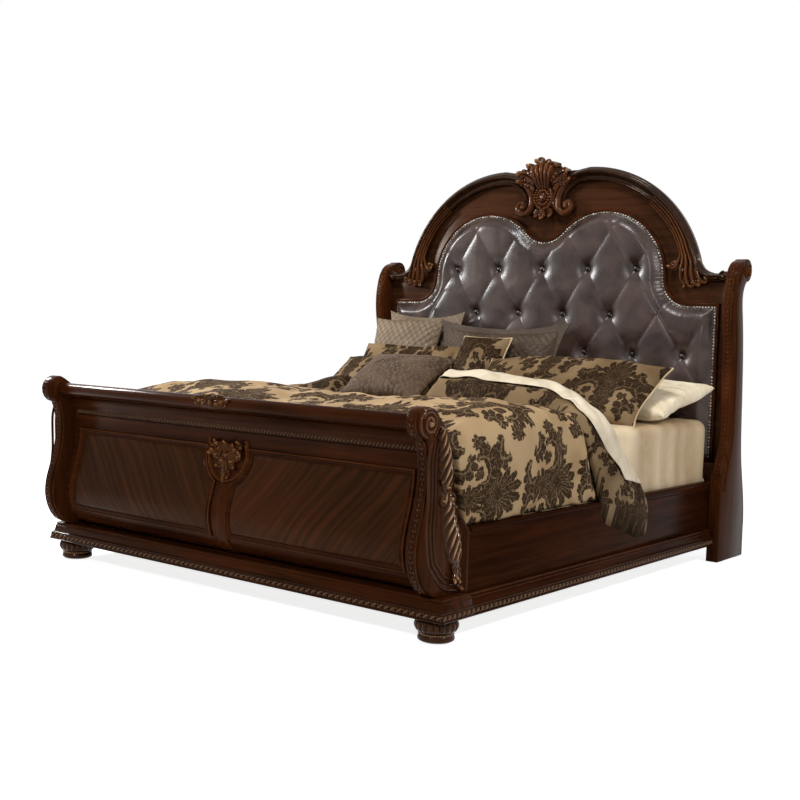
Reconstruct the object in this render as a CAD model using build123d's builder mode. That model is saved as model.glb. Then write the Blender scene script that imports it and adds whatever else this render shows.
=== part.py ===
"""A king-size sleigh bed with a tufted headboard, made up with its bedding.

Millimetres, +Z up. The origin is on the floor under the middle of the bed's box,
+X is the bed's right side and +Y runs from the footboard to the headboard.
"""
import os
from math import atan2, cos, degrees, hypot, radians, sin, sqrt, tan

from build123d import *

os.makedirs("parts", exist_ok=True)

# ---------------------------------------------------------------- driving sizes
# Mattress and box spring
mattress_width = 1930
mattress_length = 2030
mattress_height = 270
mattress_corner = 60
box_spring_height = 160
side_clearance = 7
end_clearance = 1.5
soft_gap = 0.3

# Side rails, cleats and slats
rail_thickness = 30
rail_bottom = 95
rail_top = 375
cleat_width = 25
cleat_height = 40
cleat_top = 205
slat_count = 7
slat_width = 90
slat_thickness = 20
slat_end_gap = 3
screw_head_radius = 5
screw_head_height = 2

# Plinth that runs round the foot and along both sides
plinth_projection = 36
plinth_bottom = 82
plinth_band_top = 115
plinth_top = 155
plinth_band_inset = 9
plinth_top_inset = 25

# Footboard posts, panel and roll
foot_post_thickness = 58
foot_post_outer_inset = 17
post_base_depth = 190
mattress_toe = 168
scroll_radius = 53
scroll_overhang = 36
scroll_height = 729
foot_band_thickness = 6
foot_band_width = 36
foot_band_low = 170
foot_carving_thickness = 8
panel_recess = 60
panel_thickness = 24
panel_top_drop = 37
roll_radius = 26
rope_drop = 91
rope_radius = 6

# Framed fields of the footboard
field_low = 225
field_drop = 71
field_side_margin = 46
stile_half_width = 42
moulding_width = 22
moulding_thickness = 12
raised_panel_thickness = 5
raised_panel_gap = 0.5
roundel_drop = 30
roundel_radius = 107
roundel_ring_width = 14
roundel_thickness = 14
roundel_clearance = 2
roundel_opening = 46
ornament_thickness = 12

# Feet, glides and the middle supports
foot_inset = 84
glide_thickness = 3
glide_radius = 22
beam_width = 60
beam_height = 60
bracket_thickness = 3
bracket_height = 45
leg_size = 50
leg_bottom = 40
leg_count = 2
leveler_pad_radius = 20
leveler_pad_height = 8
leveler_stem_radius = 5
leveler_stem_clearance = 0.05
leveler_stem_length = 60
leveler_travel = 15

# Headboard
head_post_thickness = 58
head_post_projection = 60
head_reach = 235
head_band_thickness = 5
head_band_width = 44
head_band_low = 410
head_band_high = 1385
head_rail_top = 455
head_panel_setback = 60
head_panel_thickness = 25
head_panel_low = 300
shoulder_drop = 61
arch_side_room = 142
arch_spring_angle = 14
arch_centre_height = 1243
arch_radius = 634
arch_moulding_width = 68
arch_moulding_depth = 40
arch_cover = 8
arch_bridge = 86
c_scroll_x = 165
c_scroll_radius = 98
c_scroll_width = 38
volute_radius = 26
end_scroll_radius = 20
crest_rise = 60
crest_boss_drop = 132
crest_depth = 62
crest_boss_depth = 12
leaf_depth = 50

# Upholstery
upholstery_side_margin = 58
shoulder_flat = 138
shoulder_arc_radius = 140
hump_rise = 80
hump_radius = 323
dip_rise = 176
upholstery_low = 480
board_thickness = 12
pad_thickness = 44
pad_border = 20
border_thickness = 6
frame_moulding_gap = 8
frame_moulding_width = 12
frame_moulding_depth = 10
nail_radius = 5.5
nail_height = 3.5
nail_pitch = 15
button_radius = 12
button_thickness = 6
button_depth = 26
button_pitch = 266
button_drops = [-45, 183, 373, 563]
button_edge_margin = 70

# Bedding
comforter_thickness = 38
comforter_low_top = 700
comforter_hill_top = 748
comforter_end = 1430
comforter_drop_start = 172
fold_start = 1180
fold_side = 10
fold_left = -480
fold_top = 800
flap_thickness = 15
flap_bottom = 250
sheet_thickness = 5

# ------------------------------------------------------------- places worked out
rail_inner = mattress_width / 2 + side_clearance
rail_outer = rail_inner + rail_thickness
plinth_outer = rail_outer + plinth_projection
foot_post_outer = rail_outer - foot_post_outer_inset
foot_post_inner = foot_post_outer - foot_post_thickness
frame_length = mattress_toe + mattress_length + 2 * end_clearance
scroll_reach = scroll_radius + scroll_overhang + foot_band_thickness
foot = -(scroll_reach + frame_length + head_reach) / 2 + scroll_reach
head = foot + frame_length
slat_top = cleat_top + slat_thickness
box_spring_low = slat_top + soft_gap
box_spring_top = box_spring_low + box_spring_height
mattress_low = box_spring_top + soft_gap
mattress_top = mattress_low + mattress_height
mattress_foot = foot + mattress_toe
mattress_head = mattress_foot + mattress_length
head_post_outer = rail_outer + head_post_projection
head_post_inner = head_post_outer - head_post_thickness
panel_front = head + head_panel_setback
board_front = panel_front - board_thickness
pad_back = board_front
plinth_back = foot + post_base_depth
panel_top = scroll_height - panel_top_drop
rope_height = scroll_height - rope_drop
field_high = rope_height - field_drop
roundel_height = field_high - roundel_drop
arch_reach = arch_radius * cos(radians(arch_spring_angle))
arch_centre_x = head_post_inner - arch_side_room - arch_reach
shoulder_height = arch_centre_height + arch_radius * sin(radians(arch_spring_angle)) - shoulder_drop
arch_top = arch_centre_height + arch_radius
crest_height = arch_top + crest_rise
crest_boss_height = arch_top - crest_boss_drop
nail_corner_x = head_post_inner - upholstery_side_margin
shoulder_arc_x = nail_corner_x - shoulder_flat
hump_centre_x = shoulder_arc_x - shoulder_arc_radius - hump_radius
hump_centre_height = arch_centre_height + hump_rise
dip_height = hump_centre_height + dip_rise


def on_circle(centre, radius, angle):
    """The point of a circle at an angle in degrees."""
    turn = radians(angle)
    return (centre[0] + radius * cos(turn), centre[1] + radius * sin(turn))


# ------------------------------------------------------------ footboard outlines
def foot_front_points(shift):
    """The front curve of the footboard from the plinth to under the scroll."""
    curve = [(37, plinth_top), (-30, plinth_top + 45), (-66, plinth_top + 143), (-36, 440), (-20, scroll_height - 129)]
    return [(foot + shift + y, z) for y, z in curve]


def foot_profile(shift):
    """The side outline of a footboard post, moved along Y by shift."""
    scroll = (foot + shift - scroll_overhang, scroll_height)
    neck = on_circle(scroll, scroll_radius, 262)
    front = on_circle(scroll, scroll_radius, 180)
    top = on_circle(scroll, scroll_radius, 90)
    back = [(104, scroll_height - 129), (117, scroll_height - 229), (157, 390), (post_base_depth - 5, 310)]
    back_points = [(foot + shift + y, z) for y, z in back]
    heel = (foot + shift + post_base_depth, plinth_top)
    shoulder = (foot + shift + 70, scroll_height - 42)
    with BuildSketch() as outline:
        with BuildLine():
            Spline(*foot_front_points(shift), neck)
            ThreePointArc(neck, front, top)
            Spline(top, shoulder, *back_points)
            Line(back_points[-1], heel)
            Line(heel, foot_front_points(shift)[0])
        make_face()
    return outline.sketch


def foot_skin(near, far, low, high):
    """A board that follows the footboard's front curve between two setbacks."""
    neck = (foot - 43, scroll_height - scroll_radius)
    front = foot_front_points(near) + [(neck[0] + near, neck[1])]
    back = foot_front_points(far) + [(neck[0] + far, neck[1])]
    crown_front = (foot - 43 + near, panel_top)
    crown_back = (foot - 43 + far, panel_top)
    with BuildSketch() as outline:
        with BuildLine():
            Spline(*front)
            Line(front[-1], crown_front)
            Line(crown_front, crown_back)
            Line(crown_back, back[-1])
            Spline(*back)
            Line(back[0], front[0])
        make_face()
        with Locations((foot, (low + high) / 2)):
            Rectangle(1000, high - low, mode=Mode.INTERSECT)
    return outline.sketch


# -------------------------------------------------------------- footboard pieces
for side, sign in (("left", -1), ("right", 1)):
    inner_face = Plane.YZ.offset(sign * foot_post_inner)
    outer_face = Plane.YZ.offset(sign * foot_post_outer)

    with BuildPart() as foot_post:
        with BuildSketch(inner_face):
            add(foot_profile(0))
        extrude(amount=sign * foot_post_thickness)
    foot_post.part.label = f"foot_post_{side}"
    export_step(foot_post.part, f"parts/foot_post_{side}.step")

    with BuildPart() as side_carving:
        with BuildSketch(outer_face):
            with BuildLine():
                front_edge = [(foot - 20, 735), (foot + 38, 640), (foot + 56, 560), (foot + 62, 490)]
                front_edge += [(foot + 76, 410), (foot + 82, 330), (foot + 92, 250), (foot + 128, 190)]
                back_edge = [(foot + 180, 180), (foot + 176, 320), (foot + 148, 388), (foot + 110, 500)]
                back_edge += [(foot + 98, 600), (foot + 68, 686), (foot - 20, 755)]
                Spline(*front_edge)
                Line(front_edge[-1], back_edge[0])
                Spline(*back_edge)
                Line(back_edge[-1], front_edge[0])
            make_face()
            with Locations((foot - scroll_overhang, scroll_height)):
                Circle(scroll_radius - 12)
            add(foot_profile(0), mode=Mode.INTERSECT)
        extrude(amount=sign * foot_carving_thickness)
    side_carving.part.label = f"foot_side_carving_{side}"
    export_step(side_carving.part, f"parts/foot_side_carving_{side}.step")

with BuildPart() as foot_bands:
    for sign in (-1, 1):
        band_start = sign * (foot_post_inner + (foot_post_thickness - foot_band_width) / 2)
        with BuildSketch(Plane.YZ.offset(band_start)):
            add(foot_profile(-foot_band_thickness))
            add(foot_profile(0), mode=Mode.SUBTRACT)
            with Locations((foot, (foot_band_low + (scroll_height + scroll_radius / 2)) / 2)):
                Rectangle(1000, (scroll_height + scroll_radius / 2) - foot_band_low, mode=Mode.INTERSECT)
        extrude(amount=sign * foot_band_width)
foot_bands.part.label = "foot_post_bands"
export_step(foot_bands.part, "parts/foot_post_bands.step")

panel_half_width = foot_post_inner
field_outer = panel_half_width - field_side_margin

with BuildPart() as foot_panel:
    with BuildSketch(Plane.YZ.offset(-panel_half_width)):
        add(foot_skin(panel_recess, panel_recess + panel_thickness, plinth_top, panel_top))
    extrude(amount=2 * panel_half_width)
foot_panel.part.label = "foot_panel"
export_step(foot_panel.part, "parts/foot_panel.step")

with BuildPart() as foot_roll:
    roll_y = foot - scroll_overhang + 6
    crown_front = foot - 43 + panel_recess
    crown_back = crown_front + panel_thickness
    with BuildSketch(Plane.YZ.offset(-panel_half_width)):
        with BuildLine():
            Polyline(
                (roll_y, scroll_height + roll_radius),
                (crown_back + 4, scroll_height + roll_radius - 12),
                (crown_back + 4, panel_top),
                (crown_front, panel_top),
                (roll_y, scroll_height - roll_radius),
                close=True,
            )
        make_face()
        with Locations((roll_y, scroll_height)):
            Circle(roll_radius)
    extrude(amount=2 * panel_half_width)
foot_roll.part.label = "foot_roll"
export_step(foot_roll.part, "parts/foot_roll.step")

with BuildPart() as roll_carving:
    with BuildSketch(Plane.YZ.offset(-95)):
        with Locations((roll_y, scroll_height)):
            Circle(roll_radius + 9)
            Circle(roll_radius, mode=Mode.SUBTRACT)
        with Locations((roll_y + 60, scroll_height)):
            Rectangle(120, 120, mode=Mode.SUBTRACT)
    extrude(amount=190)
    with BuildSketch(Plane.XZ.offset(-roll_y)):
        with Locations((0, scroll_height)):
            Ellipse(95, roll_radius + 9)
    extrude(amount=100, mode=Mode.INTERSECT)
roll_carving.part.label = "roll_carving"
export_step(roll_carving.part, "parts/roll_carving.step")

with BuildPart() as rope_moulding:
    rope_length = 2 * (panel_half_width - field_side_margin / 2)
    with BuildSketch(Plane.YZ.offset(-rope_length / 2)):
        with Locations((foot + panel_recess - 25, rope_height)):
            Circle(rope_radius)
            with Locations((6, 0)):
                Rectangle(12, 2 * rope_radius)
        add(foot_skin(panel_recess, panel_recess + panel_thickness, plinth_top, panel_top), mode=Mode.SUBTRACT)
    extrude(amount=rope_length)
rope_moulding.part.label = "rope_moulding"
export_step(rope_moulding.part, "parts/rope_moulding.step")


def field_outline(side_sign, inset):
    """One framed field of the footboard, hollowed beside the roundel."""
    width = field_outer - stile_half_width
    centre_x = side_sign * (field_outer + stile_half_width) / 2
    with BuildSketch() as outline:
        with Locations((centre_x, (field_low + field_high) / 2)):
            Rectangle(width - 2 * inset, field_high - field_low - 2 * inset)
        with Locations((0, roundel_height)):
            Circle(roundel_radius + roundel_clearance + inset, mode=Mode.SUBTRACT)
    return outline.sketch


with BuildPart() as raised_panels:
    with BuildSketch(Plane.YZ.offset(-panel_half_width)):
        add(foot_skin(panel_recess - raised_panel_thickness, panel_recess, plinth_top, panel_top))
    extrude(amount=2 * panel_half_width)
    with BuildSketch(Plane.XZ.offset(-foot - 200)):
        add(field_outline(-1, moulding_width + raised_panel_gap))
        add(field_outline(1, moulding_width + raised_panel_gap))
    extrude(amount=400, mode=Mode.INTERSECT)
raised_panels.part.label = "raised_panels"
export_step(raised_panels.part, "parts/raised_panels.step")

with BuildPart() as panel_mouldings:
    with BuildSketch(Plane.YZ.offset(-panel_half_width)):
        add(foot_skin(panel_recess - moulding_thickness, panel_recess, plinth_top, panel_top))
    extrude(amount=2 * panel_half_width)
    with BuildSketch(Plane.XZ.offset(-foot - 200)):
        for sign in (-1, 1):
            add(field_outline(sign, 0))
            add(field_outline(sign, moulding_width), mode=Mode.SUBTRACT)
    extrude(amount=400, mode=Mode.INTERSECT)
panel_mouldings.part.label = "panel_mouldings"
export_step(panel_mouldings.part, "parts/panel_mouldings.step")

with BuildPart() as centre_stile:
    with BuildSketch(Plane.YZ.offset(-stile_half_width)):
        add(foot_skin(panel_recess - raised_panel_thickness, panel_recess, plinth_top, panel_top))
    extrude(amount=2 * stile_half_width)
    with BuildSketch(Plane.XZ.offset(-foot - 200)):
        with Locations((0, (plinth_top + roundel_height) / 2)):
            Rectangle(2 * stile_half_width - 12, roundel_height - plinth_top)
        with Locations((0, roundel_height)):
            Circle(roundel_radius + roundel_clearance, mode=Mode.SUBTRACT)
    extrude(amount=400, mode=Mode.INTERSECT)
centre_stile.part.label = "centre_stile"
export_step(centre_stile.part, "parts/centre_stile.step")

with BuildPart() as roundel:
    with BuildSketch(Plane.YZ.offset(-roundel_radius)):
        add(foot_skin(panel_recess - roundel_thickness, panel_recess, plinth_top, panel_top))
    extrude(amount=2 * roundel_radius)
    with BuildSketch(Plane.XZ.offset(-foot - 200)):
        with Locations((0, roundel_height)):
            Circle(roundel_radius)
            Circle(roundel_radius - roundel_ring_width, mode=Mode.SUBTRACT)
            with Locations((0, roundel_opening + roundel_radius)):
                Rectangle(2 * roundel_radius, 2 * roundel_radius, mode=Mode.SUBTRACT)
    extrude(amount=400, mode=Mode.INTERSECT)
roundel.part.label = "roundel"
export_step(roundel.part, "parts/roundel.step")

with BuildPart() as roundel_carving:
    with BuildSketch(Plane.YZ.offset(-roundel_radius)):
        add(foot_skin(panel_recess - ornament_thickness, panel_recess, plinth_top, panel_top))
    extrude(amount=2 * roundel_radius)
    with BuildSketch(Plane.XZ.offset(-foot - 200)):
        with Locations((0, roundel_height + 12)):
            Ellipse(80, 32)
        with Locations((0, roundel_height - 30)):
            Ellipse(30, 56)
    extrude(amount=400, mode=Mode.INTERSECT)
roundel_carving.part.label = "roundel_carving"
export_step(roundel_carving.part, "parts/roundel_carving.step")

# ------------------------------------------------------------- plinth and feet
plinth_steps = [
    (0, plinth_bottom),
    (plinth_band_inset, plinth_band_top),
    (plinth_band_inset + 5, plinth_band_top + 3),
    (plinth_band_inset + 8, plinth_band_top + 16),
    (plinth_top_inset - 6, plinth_top - 14),
    (plinth_top_inset - 3, plinth_top - 10),
    (plinth_top_inset, plinth_top),
]

with BuildPart() as foot_plinth:
    with BuildSketch(Plane.YZ.offset(-plinth_outer)):
        with BuildLine():
            front_steps = [(foot + inset, z) for inset, z in plinth_steps]
            Polyline(*front_steps, (plinth_back, plinth_top), (plinth_back, plinth_bottom), close=True)
        make_face()
    extrude(amount=2 * plinth_outer)
    with BuildSketch(Plane.XZ.offset(-plinth_back)):
        with BuildLine():
            right_steps = [(plinth_outer - inset, z) for inset, z in plinth_steps]
            left_steps = [(-x, z) for x, z in reversed(right_steps)]
            Polyline(*right_steps, *left_steps, close=True)
        make_face()
    extrude(amount=post_base_depth, mode=Mode.INTERSECT)
foot_plinth.part.label = "foot_plinth"
export_step(foot_plinth.part, "parts/foot_plinth.step")

for side, sign in (("left", -1), ("right", 1)):
    foot_x = sign * (plinth_outer - foot_inset)
    with BuildPart() as bun_foot:
        with BuildSketch(Plane(origin=(foot_x, foot + foot_inset, 0), x_dir=(1, 0, 0), z_dir=(0, -1, 0))):
            with BuildLine():
                Line((0, glide_thickness), (54, glide_thickness))
                ThreePointArc((54, glide_thickness), (63, 14), (60, 27))
                Line((60, 27), (58, 31))
                ThreePointArc((58, 31), (75, 58), (62, plinth_bottom))
                Line((62, plinth_bottom), (0, plinth_bottom))
                Line((0, plinth_bottom), (0, glide_thickness))
            make_face()
        revolve(axis=Axis((foot_x, foot + foot_inset, 0), (0, 0, 1)))
    bun_foot.part.label = f"bun_foot_{side}"
    export_step(bun_foot.part, f"parts/bun_foot_{side}.step")

head_post_centre_x = (head_post_inner + head_post_outer) / 2
glide_places = [
    (-(plinth_outer - foot_inset), foot + foot_inset),
    (plinth_outer - foot_inset, foot + foot_inset),
    (-head_post_centre_x, head + 10),
    (head_post_centre_x, head + 10),
    (-head_post_centre_x, head + 180),
    (head_post_centre_x, head + 180),
]
with BuildPart() as glides:
    with BuildSketch(Plane.XY):
        with Locations(*glide_places):
            Circle(glide_radius)
    extrude(amount=glide_thickness)
glides.part.label = "foot_glides"
export_step(glides.part, "parts/foot_glides.step")

# ------------------------------------------------------------------- side rails
rail_length = head - plinth_back
plate_thickness = 3
plate_width = 16
plate_height = 110
plate_z = (rail_bottom + rail_top) / 2
plate_x = rail_inner + 2 + plate_width / 2

for side, sign in (("left", -1), ("right", 1)):
    with BuildPart() as side_rail:
        with BuildSketch(Plane.XZ.offset(-head)):
            with Locations((sign * (rail_inner + rail_outer) / 2, (rail_bottom + rail_top) / 2)):
                Rectangle(rail_thickness, rail_top - rail_bottom)
        extrude(amount=rail_length)
        top_edges = side_rail.faces().sort_by(Axis.Z)[-1].edges().filter_by(Axis.Y)
        fillet(top_edges, radius=4)
        for end_y in (plinth_back, head - plate_thickness):
            with BuildSketch(Plane.XZ.offset(-end_y - plate_thickness)):
                with Locations((sign * plate_x, plate_z)):
                    Rectangle(plate_width, plate_height)
            extrude(amount=plate_thickness, mode=Mode.SUBTRACT)
    side_rail.part.label = f"side_rail_{side}"
    export_step(side_rail.part, f"parts/side_rail_{side}.step")

    plinth_end = head - 62
    with BuildPart() as side_plinth:
        with BuildSketch(Plane.XZ.offset(-plinth_end)):
            with BuildLine():
                steps = [(sign * (plinth_outer - inset), z) for inset, z in plinth_steps]
                rail_face = sign * rail_outer
                Polyline(*steps, (rail_face, plinth_top), (rail_face, plinth_bottom), close=True)
            make_face()
        extrude(amount=plinth_end - plinth_back)
    side_plinth.part.label = f"side_plinth_{side}"
    export_step(side_plinth.part, f"parts/side_plinth_{side}.step")

with BuildPart() as hook_plates:
    for end_y in (plinth_back, head - plate_thickness):
        for sign in (-1, 1):
            with BuildSketch(Plane.XZ.offset(-end_y - plate_thickness)):
                with Locations((sign * plate_x, plate_z)):
                    Rectangle(plate_width, plate_height)
                    with Locations((0, 30), (0, -30)):
                        Circle(2.5, mode=Mode.SUBTRACT)
            extrude(amount=plate_thickness)
hook_plates.part.label = "hook_plates"
export_step(hook_plates.part, "parts/hook_plates.step")

with BuildPart() as rail_cleats:
    for sign in (-1, 1):
        with BuildSketch(Plane.XZ.offset(-head + 20)):
            with Locations((sign * (rail_inner - cleat_width / 2), cleat_top - cleat_height / 2)):
                Rectangle(cleat_width, cleat_height)
        extrude(amount=rail_length - 40)
rail_cleats.part.label = "rail_cleats"
export_step(rail_cleats.part, "parts/rail_cleats.step")

slat_half_length = rail_inner - slat_end_gap
slat_pitch = (rail_length - 240) / (slat_count - 1)
slat_places = [plinth_back + 120 + number * slat_pitch for number in range(slat_count)]
screw_x = rail_inner - cleat_width / 2
with BuildPart() as slats:
    with BuildSketch(Plane.XY.offset(cleat_top)):
        with Locations(*[(0, y) for y in slat_places]):
            Rectangle(2 * slat_half_length, slat_width)
    extrude(amount=slat_thickness)
    with BuildSketch(Plane.XY.offset(slat_top - screw_head_height)):
        with Locations(*[(x, y) for x in (-screw_x, screw_x) for y in slat_places]):
            Circle(screw_head_radius)
    extrude(amount=screw_head_height, mode=Mode.SUBTRACT)
slats.part.label = "slats"
export_step(slats.part, "parts/slats.step")

with BuildPart() as slat_screws:
    with BuildSketch(Plane.XY.offset(slat_top - screw_head_height)):
        with Locations(*[(x, y) for x in (-screw_x, screw_x) for y in slat_places]):
            Circle(screw_head_radius)
            RegularPolygon(1.8, 6, mode=Mode.SUBTRACT)
    extrude(amount=screw_head_height)
slat_screws.part.label = "slat_screws"
export_step(slat_screws.part, "parts/slat_screws.step")

# ------------------------------------------------- centre beam, legs, levelers
beam_low = cleat_top - beam_height
beam_start = plinth_back + bracket_thickness
beam_end = head - bracket_thickness
with BuildPart() as centre_beam:
    with BuildSketch(Plane.XZ.offset(-beam_end)):
        with Locations((0, cleat_top - beam_height / 2)):
            Rectangle(beam_width, beam_height)
    extrude(amount=beam_end - beam_start)
centre_beam.part.label = "centre_beam"
export_step(centre_beam.part, "parts/centre_beam.step")

with BuildPart() as beam_brackets:
    with BuildSketch(Plane.XZ.offset(-head)):
        with Locations((0, cleat_top - beam_height / 2)):
            Rectangle(beam_width, beam_height)
    extrude(amount=bracket_thickness)
    with BuildSketch(Plane.XZ.offset(-beam_start)):
        with Locations((0, plinth_top - 20)):
            Rectangle(beam_width, 36)
    extrude(amount=bracket_thickness)
    for start_y, reach in ((plinth_back, bracket_height), (head - bracket_height, bracket_height)):
        with BuildSketch(Plane.XY.offset(beam_low - bracket_thickness)):
            with Locations((0, start_y + reach / 2)):
                Rectangle(beam_width, reach)
        extrude(amount=bracket_thickness)
beam_brackets.part.label = "beam_brackets"
export_step(beam_brackets.part, "parts/beam_brackets.step")

leg_spacing = (head - plinth_back) / (leg_count + 1)
leg_places = [plinth_back + leg_spacing * (number + 1) for number in range(leg_count)]
stem_bottom = leveler_pad_height + leveler_stem_clearance
stem_top = stem_bottom + leveler_stem_length
bore_radius = leveler_stem_radius + leveler_stem_clearance
bore_depth = stem_top + leveler_travel + 2 - leg_bottom
with BuildPart() as centre_legs:
    with BuildSketch(Plane.XY.offset(leg_bottom)):
        with Locations(*[(0, y) for y in leg_places]):
            Rectangle(leg_size, leg_size)
            Circle(bore_radius, mode=Mode.SUBTRACT)
    extrude(amount=bore_depth)
    with BuildSketch(Plane.XY.offset(leg_bottom + bore_depth)):
        with Locations(*[(0, y) for y in leg_places]):
            Rectangle(leg_size, leg_size)
    extrude(amount=beam_low - leg_bottom - bore_depth)
centre_legs.part.label = "centre_legs"
export_step(centre_legs.part, "parts/centre_legs.step")

for number, leg_y in enumerate(leg_places, start=1):
    with BuildPart() as leveler_pad:
        with BuildSketch(Plane.XY):
            with Locations((0, leg_y)):
                Circle(leveler_pad_radius)
        extrude(amount=leveler_pad_height)
        fillet(leveler_pad.edges().sort_by(Axis.Z)[-1], radius=2)
    leveler_pad.part.label = f"leveler_pad_{number}"
    export_step(leveler_pad.part, f"parts/leveler_pad_{number}.step")

    with BuildPart() as leveler_stem:
        with BuildSketch(Plane.XY.offset(stem_bottom)):
            with Locations((0, leg_y)):
                Circle(leveler_stem_radius)
        extrude(amount=leveler_stem_length)
        with BuildSketch(Plane.XY.offset(stem_bottom)):
            with Locations((0, leg_y)):
                RegularPolygon(8, 6)
        extrude(amount=6)
    leveler_stem.part.label = f"leveler_stem_{number}"
    export_step(leveler_stem.part, f"parts/leveler_stem_{number}.step")


# -------------------------------------------------------------- headboard posts
def head_profile(shift):
    """The side outline of a headboard post, moved along Y by shift."""
    front = [(-60, 330), (-25, 452), (12, 545), (20, 660), (8, 1000), (-17, 1170), (-8, 1280), (35, 1375), (95, 1405)]
    back = [(122, 1308), (90, 1262), (97, 1143), (134, 859), (150, 640), (170, 470), (222, 270), (head_reach - 3, 130)]
    front = [(head + shift + y, z) for y, z in front]
    back = [(head + shift + y, z) for y, z in back]
    curl = (head + shift + 178, 1366)
    toe = (head + shift - 60, glide_thickness)
    heel = (head + shift + head_reach, glide_thickness)
    with BuildSketch() as outline:
        with BuildLine():
            Line(toe, front[0])
            Spline(*front)
            ThreePointArc(front[-1], curl, back[0])
            Spline(*back)
            Line(back[-1], heel)
            Line(heel, toe)
        make_face()
    return outline.sketch


for side, sign in (("left", -1), ("right", 1)):
    with BuildPart() as head_post:
        with BuildSketch(Plane.YZ.offset(sign * head_post_inner)):
            add(head_profile(0))
        extrude(amount=sign * head_post_thickness)
    head_post.part.label = f"head_post_{side}"
    export_step(head_post.part, f"parts/head_post_{side}.step")

with BuildPart() as head_bands:
    for sign in (-1, 1):
        band_start = sign * (head_post_inner + (head_post_thickness - head_band_width) / 2)
        with BuildSketch(Plane.YZ.offset(band_start)):
            add(head_profile(-head_band_thickness))
            add(head_profile(0), mode=Mode.SUBTRACT)
            with Locations((head - 50, (head_band_low + head_band_high) / 2)):
                Rectangle(200, head_band_high - head_band_low, mode=Mode.INTERSECT)
        extrude(amount=sign * head_band_width)
head_bands.part.label = "head_post_bands"
export_step(head_bands.part, "parts/head_post_bands.step")

with BuildPart() as head_lower_rail:
    with BuildSketch(Plane.XZ.offset(-panel_front)):
        with Locations((0, (rail_bottom + head_rail_top) / 2)):
            Rectangle(2 * head_post_inner, head_rail_top - rail_bottom)
    extrude(amount=head_panel_setback)
head_lower_rail.part.label = "head_lower_rail"
export_step(head_lower_rail.part, "parts/head_lower_rail.step")


# -------------------------------------------------------- headboard panel, arch
arch_right = (arch_centre_x, arch_centre_height)


def arch_outline(radius, shoulder, low):
    """The headboard's outline: square shoulders and a broad arch."""
    foot_of_arch = on_circle(arch_right, radius, arch_spring_angle)
    with BuildSketch() as outline:
        with BuildLine():
            crown = on_circle(arch_right, radius, 90)
            middle = on_circle(arch_right, radius, (90 + arch_spring_angle) / 2)
            points = [(head_post_inner, low), (head_post_inner, shoulder), (foot_of_arch[0] + 30, shoulder), foot_of_arch]
            Polyline(*points)
            ThreePointArc(foot_of_arch, middle, crown)
            Line(crown, (0, crown[1]))
            Line((0, crown[1]), (0, low))
            Line((0, low), points[0])
        make_face()
        mirror(about=Plane.YZ)
    return outline.sketch


with BuildPart() as head_panel:
    with BuildSketch(Plane.XZ.offset(-panel_front - head_panel_thickness)):
        add(arch_outline(arch_radius - arch_cover, shoulder_height, head_panel_low))
    extrude(amount=head_panel_thickness)
head_panel.part.label = "head_panel"
export_step(head_panel.part, "parts/head_panel.step")


def arch_moulding_outline(side_sign):
    """Half of the arch moulding with its inner volute and its end scroll."""
    inner = arch_radius - arch_moulding_width
    far = 2 * arch_radius
    corner = (arch_centre_x + far, arch_centre_height + far * tan(radians(arch_spring_angle)))
    bridge = (arch_centre_x - arch_bridge / 2, arch_top - arch_moulding_width / 2)
    c_scroll = (c_scroll_x, arch_top - c_scroll_radius)
    tip = on_circle(arch_right, arch_radius, arch_spring_angle)
    root = on_circle(arch_right, inner, arch_spring_angle)
    shoulder = shoulder_height + end_scroll_radius / 2
    flare = ((tip[0] + head_post_inner) / 2, shoulder)
    with BuildSketch() as outline:
        with Locations(arch_right):
            Circle(arch_radius)
            Circle(inner, mode=Mode.SUBTRACT)
        with BuildLine():
            Polyline(arch_right, corner, (corner[0], far + arch_top), (arch_centre_x, far + arch_top), close=True)
        make_face(mode=Mode.INTERSECT)
        with Locations(bridge):
            Rectangle(arch_bridge, arch_moulding_width)
        with Locations(c_scroll):
            Circle(c_scroll_radius)
            Circle(c_scroll_radius - c_scroll_width, mode=Mode.SUBTRACT)
            with Locations((c_scroll_radius, 0)):
                Rectangle(2 * c_scroll_radius, 4 * c_scroll_radius, mode=Mode.SUBTRACT)
        with Locations(bridge):
            Rectangle(arch_bridge, arch_moulding_width)
        with Locations((c_scroll_x - volute_radius, c_scroll[1] - c_scroll_radius + volute_radius)):
            Circle(volute_radius)
        with BuildLine():
            Line(root, tip)
            ThreePointArc(tip, (tip[0] + 14, (tip[1] + 2 * shoulder) / 3), flare)
            low = shoulder - 2 * end_scroll_radius
            Polyline(flare, (head_post_inner, shoulder), (head_post_inner, low), (root[0], low), root)
        make_face()
        with Locations((head_post_inner - end_scroll_radius, shoulder)):
            Circle(end_scroll_radius)
        if side_sign < 0:
            mirror(about=Plane.YZ, mode=Mode.REPLACE)
    return outline.sketch


moulding_back = panel_front
for side, sign in (("left", -1), ("right", 1)):
    with BuildPart() as arch_moulding:
        with BuildSketch(Plane.XZ.offset(-moulding_back)):
            add(arch_moulding_outline(sign))
        extrude(amount=arch_moulding_depth)
    arch_moulding.part.label = f"arch_moulding_{side}"
    export_step(arch_moulding.part, f"parts/arch_moulding_{side}.step")

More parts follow.
